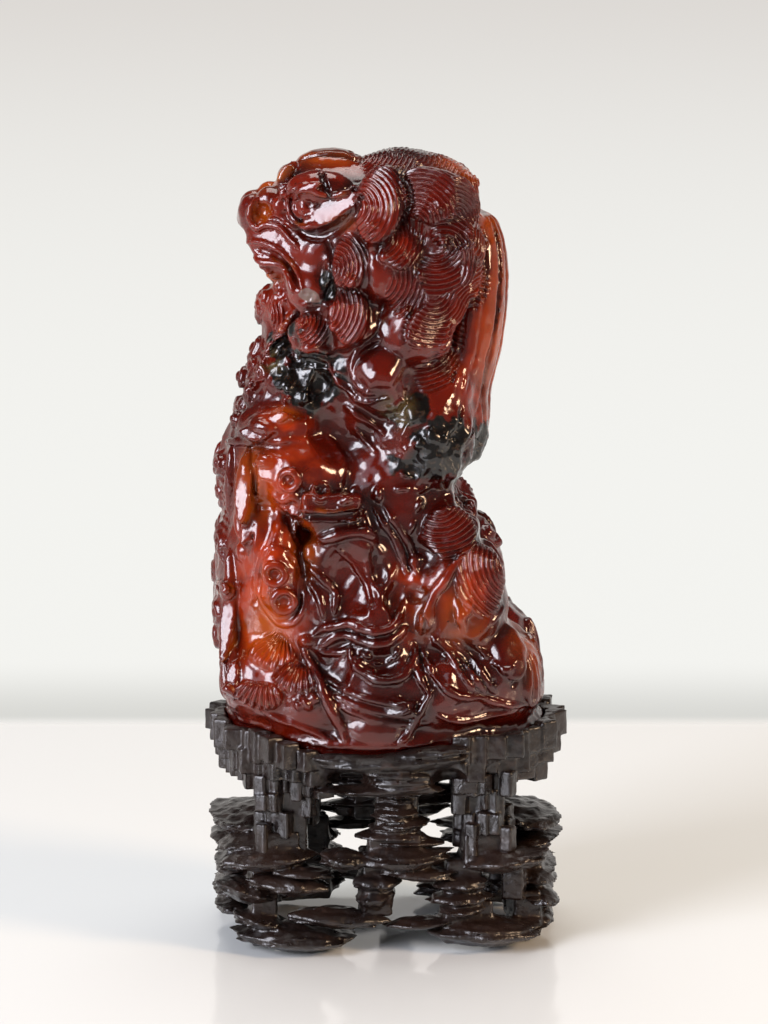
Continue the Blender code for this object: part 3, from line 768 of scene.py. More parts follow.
def lion_chest(clay):
    """Beard curls, collar folds and the gnarled matrix round the neck."""
    for view in FLANKS:
        clay.ridge(view, [(-14.8, 107.0), (-16.4, 104.6), (-18.0, 102.0), (-19.6, 99.2)], 2.0, 1.0,
                   blend=0.4)
        for k in range(6):
            x, z = -15.4 - 0.78 * k, 106.0 - 1.2 * k
            clay.bump(view, (x, z), (1.1, 0.4), 0.45, angle=25, blend=0.2)
        clay.scroll(view, (-20.8, 96.6), 2.0, hand=1, start=60, width=0.8)
        clay.scroll(view, (-22.2, 94.6), 1.2, hand=-1, width=0.6, turns=1.1)
        for z in (101.2, 99.4, 97.7):
            clay.ridge(view, [(-14.4, z + 0.3), (-11.8, z + 0.6), (-8.8, z - 0.4)], 1.7, 0.8, blend=0.3)
        clay.bump(view, (-1.1, 98.8), (3.9, 3.9), 1.6, blend=0.6)
        clay.ridge(view, [(-1.2, 103.2), (-4.2, 101.2), (-5.2, 98.4), (-4.2, 95.4), (-1.4, 94.2)], 1.3, 0.8)
        clay.ridge(view, [(-9.3, 99.1), (-8.5, 96.5), (-6.5, 94.9), (-4.6, 93.3), (-2.6, 92.9), (0.4, 93.7)],
                   1.0, 0.8, blend=0.25)
        clay.ridge(view, [(-6.6, 91.8), (-4, 90.1), (-1.6, 88.6), (-0.2, 87.4)], 1.4, 0.9)
        clay.ridge(view, [(-5.0, 88.2), (-3.2, 85.8), (-1.5, 84.0)], 1.2, 0.7)
        clay.bump(view, (-20.2, 88.6), (2.6, 1.3), 0.9, angle=-12, blend=0.3)
        clay.ridge(view, [(-22.6, 88.0), (-20.4, 87.2), (-17.6, 86.2)], 0.8, 0.5, carve=True)
        clay.ridge(view, [(-22.4, 86.6), (-19.6, 86.0), (-16.0, 86.4), (-12.4, 86.0)], 1.0, 0.6)
        clay.ridge(view, [(-26.6, 84.6), (-23.9, 85.2), (-20.9, 86.0)], 1.1, 0.8)
        clay.ridge(view, [(-21.4, 84.4), (-19.0, 84.2), (-17.0, 83.4)], 1.0, 0.5)
        clay.dent(view, (-14.6, 90.6), (2.8, 1.5), 0.7, blend=0.5)
        clay.dent(view, (-12.2, 95.2), (2.4, 2.0), 0.7, blend=0.4)
        for x, z, r in [(-15.4, 94.6, 1.4), (-13.0, 93.2, 1.1), (-16.2, 92.6, 1.0), (2.0, 92.2, 1.9),
                        (4.6, 90.8, 1.5), (2.2, 88.8, 1.1), (7.6, 87.6, 1.7), (9.8, 86.4, 1.2),
                        (5.4, 86.4, 1.4)]:
            clay.bump(view, (x, z), (r, r * 0.8), 0.7, angle=20 * x, blend=0.3)
    for y, z, r in [(0, 99.5, 2.4), (-3.8, 97.2, 1.9), (3.8, 97.2, 1.9), (0, 94.4, 2.0), (-4.4, 92.4, 1.7),
                    (4.4, 92.4, 1.7), (0, 90.2, 2.2), (-7.0, 89.0, 1.8), (7.0, 89.0, 1.8)]:
        clay.scroll("front", (y, z), r, hand=1 if y >= 0 else -1, width=0.9, height=0.6, start=40)


def lion_flank(clay):
    """Scrolls, folds and bosses of the body, the same on both flanks."""
    for view in FLANKS:
        # braided hair down the front edge
        for k in range(12):
            z = 82.0 - 1.25 * k
            x = -27.2 + 0.25 * math.sin(k)
            clay.ridge(view, [(x - 0.9, z + 0.6), (x, z), (x + 1.1, z - 1.0)], 0.8, 0.5, steps=3, blend=0.2)
        clay.bump(view, (-19.8, 83.0), (2.1, 1.2), 0.8, angle=-6, blend=0.3)
        for dz in (-0.7, 0.0, 0.7):
            clay.ridge(view, [(-21.4, 83.0 + dz), (-19.8, 83.2 + dz), (-18.2, 82.8 + dz)], 0.5, 0.4,
                       blend=0.12, steps=4)
        # glassy pillars behind the braid
        clay.ridge(view, [(-22.4, 84.0), (-23.0, 79.0), (-23.4, 74.8), (-23.8, 69.8)], 3.2, 1.7, blend=0.3)
        clay.ridge(view, [(-25.2, 84.0), (-25.6, 78.0), (-25.8, 73.0)], 1.6, 1.0, blend=0.25)
        clay.ridge(view, [(-21.4, 82.0), (-21.6, 76.0), (-22.0, 70.0)], 1.0, 0.7, carve=True, blend=0.3)
        clay.bump(view, (-23.6, 67.6), (1.7, 2.0), 0.9, blend=0.4)
        clay.ridge(view, [(-25.6, 66.6), (-25.4, 61.0), (-25.2, 55.0), (-24.8, 46.6)], 2.4, 1.4, blend=0.25)
        clay.bump(view, (-27.0, 65.7), (0.8, 1.5), 0.7, blend=0.2)
        clay.scroll(view, (-26.6, 61.0), 1.6, hand=-1, width=0.7, turns=1.2)
        clay.ridge(view, [(-19.6, 79.0), (-19.4, 74.0), (-20.2, 69.0), (-21.0, 60.0)], 3.2, 1.0,
                   carve=True, blend=0.9)
        # polished flats that catch the window
        for x, z, long, wide, angle in [(-23.2, 78.0, 5.6, 1.1, 92), (-22.4, 71.6, 3.0, 0.9, 80),
                                        (-25.9, 56.0, 7.4, 1.0, 90), (-25.2, 46.6, 3.4, 0.9, 86),
                                        (-21.4, 87.2, 2.6, 0.9, -12), (-15.4, 75.4, 2.2, 0.9, -30),
                                        (-8.6, 66.4, 3.0, 1.4, 70), (-17.4, 90.0, 2.2, 0.7, 10),
                                        (1.6, 43.4, 3.2, 1.2, -20), (13.4, 58.6, 2.4, 0.9, 60)]:
            clay.facet(view, (x, z), (long, 1.3 * wide), 0.9, angle, glint(view, x, z), thick=2.4, blend=0.5)
        # ring boss, petals and leaf
        clay.ring(view, (-15.7, 80.2), 2.0, 1.0, 0.8)
        clay.ridge(view, [(-18.8, 78.0), (-16.8, 76.8), (-15.2, 77.6), (-13.6, 76.2), (-13.8, 74.0)],
                   1.7, 0.9)
        clay.bump(view, (-15.4, 72.2), (1.5, 3.6), 1.2, angle=-14, blend=0.35)
        clay.ridge(view, [(-16.0, 75.0), (-15.4, 72.2), (-14.6, 69.6)], 0.7, 0.6, carve=True, blend=0.2)
        clay.bump(view, (-12.4, 68.0), (1.4, 2.0), 1.0, blend=0.3)
        # the flat-bottomed ledge with its boss
        ledge, _, _ = clay.spots(view, [(-8.8, 75.8)])
        clay.brick(ledge[0], (4.9, 1.8, 2.3), tilt=-3, edge=0.7, blend=0.3)
        clay.ridge(view, [(-14.0, 74.6), (-10.5, 74.2), (-6.5, 74.3), (-3.6, 75.2)], 1.4, 1.3,
                   carve=True, blend=0.25)
        clay.ridge(view, [(-13.4, 75.9), (-9.0, 75.5), (-4.4, 76.0)], 0.7, 0.6, blend=0.15)
        clay.ring(view, (-10.6, 78.3), 1.7, 0.7, 0.6)
        for x, z in [(-7.6, 78.6), (-6.2, 77.4), (-5.0, 78.0), (-7.2, 76.8)]:
            clay.bump(view, (x, z), (0.9, 0.7), 0.45, angle=30, blend=0.15)
        # hollow flank with its bright crest
        clay.ridge(view, [(-10.8, 70.2), (-7.0, 71.4), (-3.8, 71.6), (-1.6, 70.2)], 2.2, 1.3, blend=0.4)
        clay.dent(view, (-5.4, 64.0), (6.2, 6.4), 2.9, blend=0.9)
        clay.dent(view, (-1.0, 65.2), (1.8, 3.8), 1.4, angle=12, blend=0.4)
        clay.ridge(view, [(-8.2, 69.2), (-4.6, 65.4), (-2.6, 61.4), (-2.4, 58.2)], 0.9, 0.5, blend=0.2)
        clay.ridge(view, [(-12.1, 65.4), (-9.9, 63.3), (-8.5, 61.7), (-8.1, 60.1), (-8.3, 58.0)], 1.3, 1.1)
        clay.ridge(view, [(-13.0, 63.8), (-11.3, 61.6), (-10.4, 59.4), (-10.2, 57.4)], 0.9, 0.7)
        # drapery ridges from the shoulder to the knee
        for dx, height in ((0.0, 0.9), (1.9, 0.8)):
            clay.ridge(view, [(-2.0 + dx, 75.4), (0.1 + dx, 72.2), (1.7 + dx, 69.8), (2.7 + dx, 67.2),
                              (3.6 + dx, 64.2)], 1.1, height, blend=0.3)
        clay.bump(view, (-1.0, 77.4), (1.2, 1.7), 0.9, blend=0.2)
        for x, z, a in [(4.4, 72.0, 70), (6.4, 70.6, 40), (9.0, 72.6, 20), (2.8, 78.4, 10), (5.6, 75.6, 60),
                        (6.6, 78.2, 20), (3.6, 80.6, -20)]:
            clay.bump(view, (x, z), (1.5, 0.6), 0.6, angle=a, blend=0.2)
        # two ringed eyes in a long red hollow
        clay.ridge(view, [(-19.6, 68.4), (-21.0, 64.0), (-19.8, 58.4), (-16.6, 55.8), (-13.8, 57.6),
                          (-13.4, 62.0), (-15.4, 67.4), (-18.4, 69.2)], 1.0, 0.6, blend=0.3, taper=0.9)
        clay.bump(view, (-17.3, 62.3), (3.4, 6.2), 1.2, angle=8, blend=0.6)
        clay.ring(view, (-18.1, 64.9), 2.1, 1.1, 0.9)
        clay.ring(view, (-16.7, 60.2), 2.3, 1.2, 0.9)


def lion_haunch(clay):
    """Knee, thigh locks and the folds of the hind leg."""
    for view in FLANKS:
        clay.tuft(view, (10.8, 71.4), (4.6, 4.3), eye=(8.6, 78.0), lift=0.6, pitch=0.86, depth=0.34,
                  blend=0.9, cover=1.22)
        clay.bump(view, (16.2, 71.0), (1.3, 1.6), 0.9, blend=0.3)
        clay.tuft(view, (15.9, 63.4), (4.5, 6.6), eye=(22.6, 66.4), angle=8, lift=1.2, pitch=0.95,
                  depth=0.36)
        clay.ridge(view, [(12.6, 67.8), (10.6, 64.9), (9.5, 63.2), (8.3, 61.6), (7.5, 59.6), (5.6, 57.2)],
                   1.7, 1.0, blend=0.25)
        clay.ridge(view, [(11.6, 60.6), (12.4, 57.8), (13.2, 55.4)], 1.6, 0.7, blend=0.3)
        clay.bump(view, (6.8, 56.8), (1.7, 2.9), 1.0, angle=-18, blend=0.25)
        clay.ridge(view, [(6.0, 58.8), (6.6, 56.4), (6.4, 54.0)], 0.7, 0.5, carve=True, blend=0.2)
        clay.dent(view, (5.0, 61.4), (2.0, 1.8), 1.0, blend=0.6)
        clay.dent(view, (1.8, 60.0), (1.7, 3.6), 1.2, blend=0.6)
        clay.bump(view, (5.2, 66.4), (1.5, 1.1), 0.6, blend=0.3)
        # tip and folds of the hind foot
        clay.bump(view, (19.0, 57.4), (0.9, 2.8), 0.6, angle=-42, blend=0.3)
        clay.bump(view, (20.6, 51.4), (3.3, 5.2), 1.0, angle=18, blend=0.5)
        for dx, dz in [(0, 0), (1.7, -0.2), (-1.8, 0.6)]:
            clay.ridge(view, [(9.6 + dx, 53.6 + dz), (12.4 + dx, 50.6 + dz), (14.8 + dx, 47.2 + dz),
                              (16.4 + dx, 45.0 + dz)], 1.3, 0.9, blend=0.3)
        clay.ridge(view, [(14.6, 52.8), (17.6, 50.0), (19.6, 48.6), (21.4, 48.8)], 0.9, 0.6, blend=0.25)
        for k, (x, z) in enumerate([(17.4, 50.2), (18.6, 48.8), (20.2, 47.4), (18.0, 46.6), (21.4, 46.0)]):
            clay.dent(view, (x, z), (0.8, 0.5), 0.4, angle=-40 + 20 * k, blend=0.2)
        clay.ridge(view, [(6.0, 52.0), (7.6, 49.0), (9.8, 46.2), (13.0, 44.6), (16.6, 43.6), (21.0, 42.2),
                          (26.0, 41.6)], 1.4, 0.9, blend=0.35)
        clay.ridge(view, [(5.0, 51.2), (5.2, 49.0), (6.6, 46.4), (7.6, 44.8)], 1.0, 0.8, blend=0.3)
        clay.bump(view, (24.4, 43.4), (1.6, 3.2), 0.7, angle=24, blend=0.4)
        # fans across the back, cut once, before the right flank
        if view == "left":
            for y in (-13, -6.5, 0, 6.5, 13):
                clay.tuft("back", (y, 47.0 + 2 * math.cos(y / 6)), (3.0, 4.6), eye=(y, 57), lift=0.6,
                          kind="fan", pitch=0.9)
    for y, z in [(-8, 66.5), (8, 66.5), (0, 70.5), (-4.8, 74.8), (4.8, 74.8), (0, 62.5)]:
        clay.scroll("back", (y, z), 3.2, hand=1 if y >= 0 else -1, width=1.1, height=0.6, base=0.2)


def lion_skirt(clay):
    """Scrolling scarf, shell fans and glassy folds round the bottom."""
    for view in FLANKS:
        # knob and the scarf that rises from it
        clay.bump(view, (-12.9, 53.4), (1.7, 1.3), 1.2, angle=10, blend=0.3)
        clay.ridge(view, [(-11.8, 54.4), (-9.8, 55.8), (-5.8, 56.6), (-2.0, 55.6), (1.6, 56.6), (3.6, 60.6)],
                   1.5, 1.1, blend=0.35)
        clay.ridge(view, [(-10.4, 52.6), (-8.2, 54.2), (-5.4, 54.4), (-2.6, 53.6), (0.6, 53.6), (3.4, 55.8)],
                   1.7, 1.0, blend=0.35)
        clay.ridge(view, [(-11.0, 51.6), (-7.4, 51.6), (-5.4, 52.8)], 1.3, 0.8, blend=0.3)
        # U-shaped swirl
        clay.ridge(view, [(-5.8, 52.6), (-5.2, 50.4), (-3.0, 48.4), (0.2, 47.6), (3.2, 48.4), (4.8, 50.8),
                          (4.9, 52.8)], 1.2, 1.0, blend=0.3)
        clay.dent(view, (-0.6, 50.8), (3.6, 2.0), 1.2, blend=0.5)
        for x, z, a in [(-3.2, 51.6, -25), (-1.2, 50.2, -15), (0.8, 50.6, 40), (2.0, 51.8, 60),
                        (-4.2, 50.6, -50)]:
            clay.bump(view, (x, z), (1.2, 0.6), 0.6, angle=a, blend=0.2)
        # lower folds that sweep to the right
        for dz, dx in ((0.0, 0.0), (-1.9, 0.6), (-3.6, 1.6)):
            clay.ridge(view, [(-10.6 + dx, 47.6 + dz), (-7.6 + dx, 46.2 + dz), (-3.4 + dx, 44.8 + dz),
                              (1.6 + dx, 43.8 + dz), (5.6 + dx, 43.9 + dz)], 1.2, 0.7, blend=0.35)
        # the long fold from the knob down to the rim, and the lobe beside it
        clay.ridge(view, [(-13.4, 51.8), (-11.4, 47.6), (-9.4, 43.8), (-7.6, 40.4), (-6.6, 37.4)],
                   1.9, 1.4, blend=0.4)
        clay.bump(view, (-1.6, 39.0), (5.0, 3.0), 1.3, blend=0.5)
        clay.ridge(view, [(7.8, 46.0), (5.6, 42.0), (3.6, 38.2), (1.6, 35.6)], 1.3, 0.9, blend=0.35)
        clay.ridge(view, [(8.6, 41.8), (12.0, 40.4), (17.0, 40.6), (22.0, 41.2)], 1.2, 0.8, blend=0.35)
        clay.dent(view, (13.0, 42.6), (4.6, 1.5), 0.6, blend=0.5)
        # shell fans, from the top down
        for place, size, angle, eye in [((-18.6, 51.4), (3.7, 3.6), -12, (-16.4, 57.0)),
                                        ((-14.6, 47.4), (4.2, 2.7), -12, (-13.4, 53.0)),
                                        ((-20.9, 44.6), (4.3, 2.5), -6, (-19.4, 50.6)),
                                        ((-12.8, 43.8), (2.4, 1.6), 20, (-16.4, 49.0))]:
            clay.tuft(view, place, size, eye, angle, lift=1.1, kind="fan", pitch=0.75, depth=0.36,
                      blend=0.3)
        clay.bump(view, (-26.0, 43.8), (1.4, 2.6), 0.6, blend=0.5)
        clay.ridge(view, [(-25.0, 41.8), (-20.0, 41.2), (-14.0, 39.6), (-9.0, 37.2)], 1.4, 0.8, blend=0.4)
    for y in (-14, -9, -4, 4, 9, 14):
        clay.tuft("front", (y, 46.6 + 1.6 * math.cos(y)), (2.7, 3.6), eye=(y * 0.9, 53), lift=0.9,
                  kind="fan", pitch=0.75, blend=0.3)
    for y, z, r in [(-6, 56, 2.6), (6, 56, 2.6), (0, 62, 2.8), (-6, 68, 2.6), (6, 68, 2.6),
                    (0, 75, 2.8), (-5, 81, 2.2), (5, 81, 2.2), (0, 50.5, 2.2)]:
        clay.scroll("front", (y, z), r, hand=1 if y >= 0 else -1, width=1.0, height=0.6, start=70, base=0.4)
    for y in (-9.6, -3.2, 3.2, 9.6):
        clay.bump("back", (y, 42.6), (3.4, 2.6), 0.6, angle=8 * math.sin(y), blend=0.5)


def outward(x, y, half):
    """How far out a place is in the squarish oval: 1 on the outline with the given half sizes."""
    total = (np.abs(x) / half[0]) ** OVAL_POWER + (np.abs(y) / half[1]) ** OVAL_POWER
    return total ** (1 / OVAL_POWER)


def plug_shape(clay):
    """Keeps the lion's foot inside the dish that it sits in, and lets it widen above the rim."""
    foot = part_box("amber_lion")[0].z / MM
    where, (x, y, z) = clay.window(clay.low, (30, 30, 48))
    above = z - rim_top(x, y)
    spare = np.clip((above - 0.15) * 4, 0, 0.9) + np.clip((above - 1.3) * 0.9, 0, 8)
    limit = (outward(x, y, PLUG_HALF) - 1) * 21 - spare
    clay.field[where] = np.maximum(clay.field[where], np.maximum(limit, foot - z))


def zone(points, places):
    """From 0 to 1 by how near the points are to soft blobs of the given centres and radii."""
    total = np.zeros(len(points))
    for centre, radii in places:
        away = np.sqrt((((points - np.array(centre)) / np.array(radii)) ** 2).sum(1))
        total = np.maximum(total, np.clip(1.4 - away, 0, 1))
    return np.clip(total, 0, 1)


# Where each flaw or colour of the raw amber, or painted glow, shows: centres and radii of soft blobs.
# rock is its black matrix and olive the matrix's greenish part, chalk is a pale flaw at the jaw,
# and the last two are painted glow: light coming through the body, and light coming through an edge.
ZONES = {
    "rock": [
        ((8.6, -11, 84), (7.4, 9, 6.2)), ((9.4, 9, 84), (7.4, 9, 6.0)), ((12.6, 0, 81), (5, 12, 5)),
        ((14.2, -3, 84), (3.6, 9, 4.6)), ((-13, -10, 96.5), (6, 6, 6)), ((-12, 9, 97), (5, 6, 5)),
        ((3.4, -13, 90.6), (4.4, 5, 3.2)), ((-9, -11, 112), (1.8, 4, 2.8)),
        ((-12, -9, 109.3), (2.0, 4, 1.7)), ((-13, -10, 103.5), (3.2, 4, 3)), ((-17, -6, 100), (3, 5, 4)),
    ],
    "olive": [
        ((2, -14, 92), (2.6, 4, 2.4)), ((-18.7, -8, 98.7), (1.8, 4, 1.8)),
        ((2.5, -14, 89), (1.6, 3, 1.4)), ((3, 13, 91), (2.6, 4, 2.4)),
    ],
    "chalk": [((-12.6, -11, 109.8), (2.1, 4, 1.3))],
    "painted_body_glow": [
        ((-19, -14, 62), (6, 9, 20)), ((-18, -15, 50), (5, 8, 5)), ((-17.3, -16, 62.4), (3.4, 6, 6)),
        ((-16, -13, 80), (6, 8, 6)), ((-17, -12, 88), (5, 6, 3)), ((-12, -15, 80), (3.5, 5, 3)),
        ((12, -14, 62), (6, 8, 6)), ((4, -17, 60), (3, 5, 6)), ((-16, 13, 60), (7, 9, 20)),
        ((13, 13, 60), (6, 8, 7)), ((14, 0, 100), (5, 12, 20)),
    ],
    "painted_edge_glow": [
        ((-9.5, 0, 132.0), (5.5, 6, 2.4)), ((-19.5, 0, 127.2), (4, 5, 2.2)),
        ((-20.4, 5, 123.0), (1.8, 3, 1.8)), ((-20.4, -5, 123.0), (1.8, 3, 1.8)),
        ((12.5, 0, 128.5), (6, 8, 5)), ((16.5, 0, 119), (5, 12, 7)), ((18.5, 0, 103), (4.2, 12, 20)),
        ((-18, 0, 112.5), (2.6, 5, 2)), ((-6.5, -10, 122.2), (3.2, 4, 1.6)),
        ((-20, -15, 55), (3, 5, 4)), ((-16.4, -11, 90.3), (2.2, 4, 1.2)), ((12, -15, 57), (3.4, 4, 6)),
        ((-19, -14, 55), (3.4, 5, 8)), ((-21, -12, 79), (3.4, 5, 6)), ((-13.4, -15, 68), (2.4, 5, 5)),
        ((15, -13, 55), (3, 5, 4)), ((22, -11, 50), (4, 5, 7)), ((6.5, -15, 57), (2.2, 4, 4)),
    ],
}


def carve_lion():
    """The whole carving: masses and motifs, then hair, chisel marks and rough crust, then colours."""
    clay = Clay(LION_LOW, LION_HIGH, LION_STEP)
    lion_masses(clay)
    lion_tail(clay)
    lion_mane(clay)
    lion_face(clay)
    lion_chest(clay)
    lion_flank(clay)
    lion_haunch(clay)
    lion_skirt(clay)
    plug_shape(clay)
    points, triangles = whole(*skin(clay))
    points = settle(clay, points)
    # finer triangles under the hair, which is engraved further down
    near, _, _, _ = strands(clay, points, margin=0.1)
    points, triangles = refine(points, triangles, near < 1.05)
    points = settle(clay, points, 1)
    normals = point_normals(points, triangles)
    _, share, count, depth = strands(clay, points)
    rock = zone(points, ZONES["rock"])
    # chisel marks on the body, away from hair, tail and polished flats
    x, z = points[:, 0], points[:, 2]
    below_head = np.clip((111 - z) / 6, 0, 1) * np.clip((z - 42) / 5, 0, 1)
    tail = np.clip((x - 12.5) / 1.5, 0, 1) * np.clip((z - 84) / 4, 0, 1)
    folds = 0.5 - np.abs(waves(points * (1.0, 1.0, 0.65), 6.0, 41))
    polished = zone(points, clay.flats)
    chisel = 0.38 * folds * below_head * (1 - share) * (1 - tail) * (1 - polished)
    # crags of the black matrix
    crags = 0.55 * (0.5 - np.abs(waves(points, 6.0, 32))) + 0.14 * (0.5 - np.abs(waves(points, 1.9, 31)))
    crust = np.clip(rock * 1.6, 0, 1) * crags
    points = points + normals * (chisel + crust)[:, None]
    normals = point_normals(points, triangles)
    groove = 0.5 + 0.5 * np.cos(2 * math.pi * count)
    smooth_skin = 0.05 * waves(points, 3.2, 11) + 0.03 * waves(points, 1.5, 12)
    thin = thinness(clay, points, normals)
    crease = hollowness(clay, points, normals, 1.0)
    # painted shade where the foot sinks into the dish, added to the crease mask
    above_rim = points[:, 2] - rim_top(points[:, 0], points[:, 1])
    crease = np.maximum(crease, 0.9 * np.clip(1.4 - above_rim, 0, 1))
    points = points + normals * (smooth_skin - share * depth * groove)[:, None]
    # painted shade: creases and hollows are darkened, less so towards the front edge, where light comes
    # through
    dark_side = np.clip((points[:, 0] + 19) / 9, 0.2, 1)
    values = {
        "thin": spread(thin, triangles, 6),
        "crease": spread(crease, triangles, 2) * (0.4 + 0.6 * dark_side),
        "strand": count,
        "hair": share,
        "deep": np.clip((104 - points[:, 2]) / 14, 0, 1),
        "hollow": spread(hollowness(clay, points, normals, 3.2), triangles, 4) * dark_side,
        "rock": rock,
    }
    for name in ("painted_body_glow", "painted_edge_glow", "chalk", "olive"):
        values[name] = zone(points, ZONES[name])
    return mesh_object("lion_carving", points, triangles, values)


# ---------------------------------------------------------------- the stand

def oval(angle, half_length, half_depth):
    """A point on the dish's squarish oval."""
    c, s = math.cos(angle), math.sin(angle)
    return (half_length * math.copysign(abs(c) ** (2 / OVAL_POWER), c),
            half_depth * math.copysign(abs(s) ** (2 / OVAL_POWER), s))


def rim_top(x, y):
    """Height of the dish's rim: level, dipping in the middle of the long sides."""
    return RIM_LEVEL - RIM_DIP * np.clip(1 - ((x + 3.5) / 17.0) ** 2, 0, 1) * (np.abs(y) > 12)


def node_clay(node, margin):
    """An empty block that is larger than a CAD node by a margin."""
    low, high = (np.array(corner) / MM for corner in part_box(node))
    return Clay(low - margin, high + margin, STAND_STEP)


def ring_places(count, half_length, half_depth, shift=0.0):
    """Evenly spaced places round the squarish oval, each with the direction along it."""
    angles = np.linspace(0, 2 * math.pi, 721)
    line = np.array([oval(a, half_length, half_depth) for a in angles])
    run = np.concatenate([[0], np.cumsum(np.linalg.norm(np.diff(line, axis=0), axis=1))])
    for k in range(count):
        at = run[-1] * ((k + shift) % count) / count
        x, ahead_x = np.interp([at, at + 0.3], run, line[:, 0])
        y, ahead_y = np.interp([at, at + 0.3], run, line[:, 1])
        yield x, y, math.atan2(ahead_y - y, ahead_x - x)


def carve_dish(clay):
    """The oval dish: three stepped courses of little blocks, slabs in front and behind, and the seat."""
    rng = np.random.default_rng(5)
    # turns a share of the oval's half depth into a distance
    scale = 23
    where, (x, y, z) = clay.everywhere()
    sides = (outward(x, y, DISH_HALF) - 1) * scale + 1.5 * np.clip((33.5 - z) / 2.5, 0, 2.4)
    body = np.maximum(sides, 29.4 - z)
    clay.add(where, np.maximum(body, z - rim_top(x, y) + 0.8).astype(np.float32), 0)
    # top and bottom of each course, how far it is set in, how many blocks it has, and its shift
    courses = [(RIM_LEVEL, 33.2, 0.0, 54, 0.0), (34.4, 30.2, 1.0, 50, 0.5), (31.0, 27.8, 2.4, 46, 0.0)]
    for top, bottom, inset, count, shift in courses:
        for x0, y0, along in ring_places(count, 28.2 - inset, 22.4 - inset, shift):
            step = (-1.3, -0.3, 0.6)[int(rng.integers(0, 3))] + rng.uniform(-0.15, 0.15)
            rise, drop = rng.uniform(-0.7, 0.3), rng.uniform(-0.6, 0.9)
            # none where the slabs are
            if -10.8 < x0 < 11.8 and abs(y0) > 10:
                continue
            dip = RIM_LEVEL - rim_top(x0, y0)
            high = top - dip + rise
            low = bottom - 0.6 * dip - drop
            out = np.array((math.sin(along), -math.cos(along)))
            place = np.array((x0, y0)) + out * (step - 0.3)
            yaw = math.degrees(along) - 32 + rng.uniform(-8, 8)
            clay.brick((*place, (high + low) / 2), (1.7, 1.6, (high - low) / 2), yaw, edge=0.1, blend=0.05)
    # position, half sizes and tilt of the slabs between the two banks of blocks
    slabs = [((1.6, -20.6, 33.6), (13.2, 3.4, 2.0), 3.5), ((7.0, -20.9, 35.2), (8.0, 2.8, 1.2), 5.0),
             ((-6.0, -20.4, 34.0), (7.0, 2.6, 1.3), -1.5), ((1.6, -20.6, 31.6), (6.6, 3.0, 1.2), -4.0),
             ((3.0, -20.2, 30.2), (6.0, 2.8, 1.1), 2.0), ((-0.6, -19.4, 28.6), (12.4, 3.0, 1.1), 0.5),
             ((3.4, -19.8, 29.2), (6.4, 3.0, 0.9), 4.0)]
    # the back has the front's slabs turned round, and both have two pits under the slabs
    for side in (-1, 1):
        for (x0, y0, z0), half, tilt in slabs:
            clay.leaf((-side * x0, -side * y0, z0), half, tilt=-side * tilt, ragged=0.06)
        clay.ball((side * 6.0, side * 21.5, 30.3), (3.8, 5.4, 1.8), blend=0.2, carve=True)
        clay.ball((-side * 10.6, side * 21.5, 30.4), (3.2, 5.4, 2.1), blend=0.2, carve=True)
    # the seat above, and the hollow underside
    inner = (outward(x, y, SEAT_HALF) - 1) * scale
    clay.cut(where, np.maximum(inner, SEAT_LEVEL - z).astype(np.float32), 0.2)
    clay.cut(where, np.maximum(inner + 4.5, z - UNDERSIDE_LEVEL).astype(np.float32), 0.3)


def carve_leg(clay, side_x, side_y, seed):
    """A bundle of upright square bars of different lengths, stepped in and out."""
    rng = np.random.default_rng(seed)
    clay.brick((side_x * 16.4, side_y * 13.4, 24.0), (3.4, 2.6, 7.4), edge=0.1)
    # top and bottom of each run of bars, and how far it stands out
    runs = [(31.0, 26.6, 0.9), (27.6, 23.4, 0.3), (24.4, 20.2, 0.0), (21.8, 17.0, 0.5)]
    for top, bottom, out in runs:
        for column in range(5):
            for row in range(3):
                if column in (0, 4) and rng.uniform() < 0.3:
                    continue
                x = side_x * (16.4 + (column - 2) * 1.95) + rng.uniform(-0.25, 0.25)
                y = side_y * (15.2 + out - row * 2.2 + rng.choice((-1.3, -0.1, 1.0)))
                high, low = top + rng.uniform(-0.9, 0.6), bottom + rng.uniform(-0.9, 0.9)
                clay.brick((x, y, (low + high) / 2), (1.1, 1.15, (high - low) / 2), rng.uniform(-40, -16),
                           edge=0.1, blend=0.05)


def carve_rock(clay, side_y, seed):
    """The pillar between the legs: many thin level slabs, with a wide rough wall behind the rear one."""
    rng = np.random.default_rng(seed)
    clay.brick((2.0, side_y * 13.6, 24.4), (3.6, 2.2, 7.0), edge=0.4)
    for k in range(12):
        z = 18.8 + 1.05 * k
        wide = 4.2 + 3.4 * (abs(k - 5.5) / 5.5) ** 2 + rng.uniform(-0.7, 0.7)
        clay.leaf((2.2 + rng.uniform(-1.2, 1.2), side_y * (14.4 + rng.uniform(-0.5, 0.9)), z),
                  (wide, 4.4, 0.95), rng.uniform(-7, 7), rng.uniform(-5, 5), ragged=0.10)
    if side_y > 0:
        for k in range(11):
            z = 18.4 + 1.25 * k
            left = -11.5 + 3.5 * math.sin(0.9 * k)
            right = 13.5 + 2.0 * math.sin(1.3 * k + 1)
            centre = ((left + right) / 2, 13.6 + 0.5 * math.sin(2 * k), z)
            clay.leaf(centre, ((right - left) / 2, 2.8, 1.1), yaw=2, tilt=1.5)


def around(slabs):
    """Each slab of the front with a thinner lip above and below it, and the same turned round
    for the back."""
    for (x, y, z), (length, width, thick), yaw, tilt, power in slabs:
        layers = [(0, 0, 0, 1.0, thick), (0.8, 0.4, 0.3 * thick, 0.95, 0.4 * thick),
                  (-0.7, 0.4, -0.3 * thick, 0.93, 0.4 * thick)]
        for dx, dy, dz, share, height in layers:
            half = (length * share, width * share, height)
            yield (x + dx, y + dy, z + dz), half, yaw, tilt, power
            yield (-x - dx, -y - dy, z + dz), half, yaw + 2.0, -tilt, power


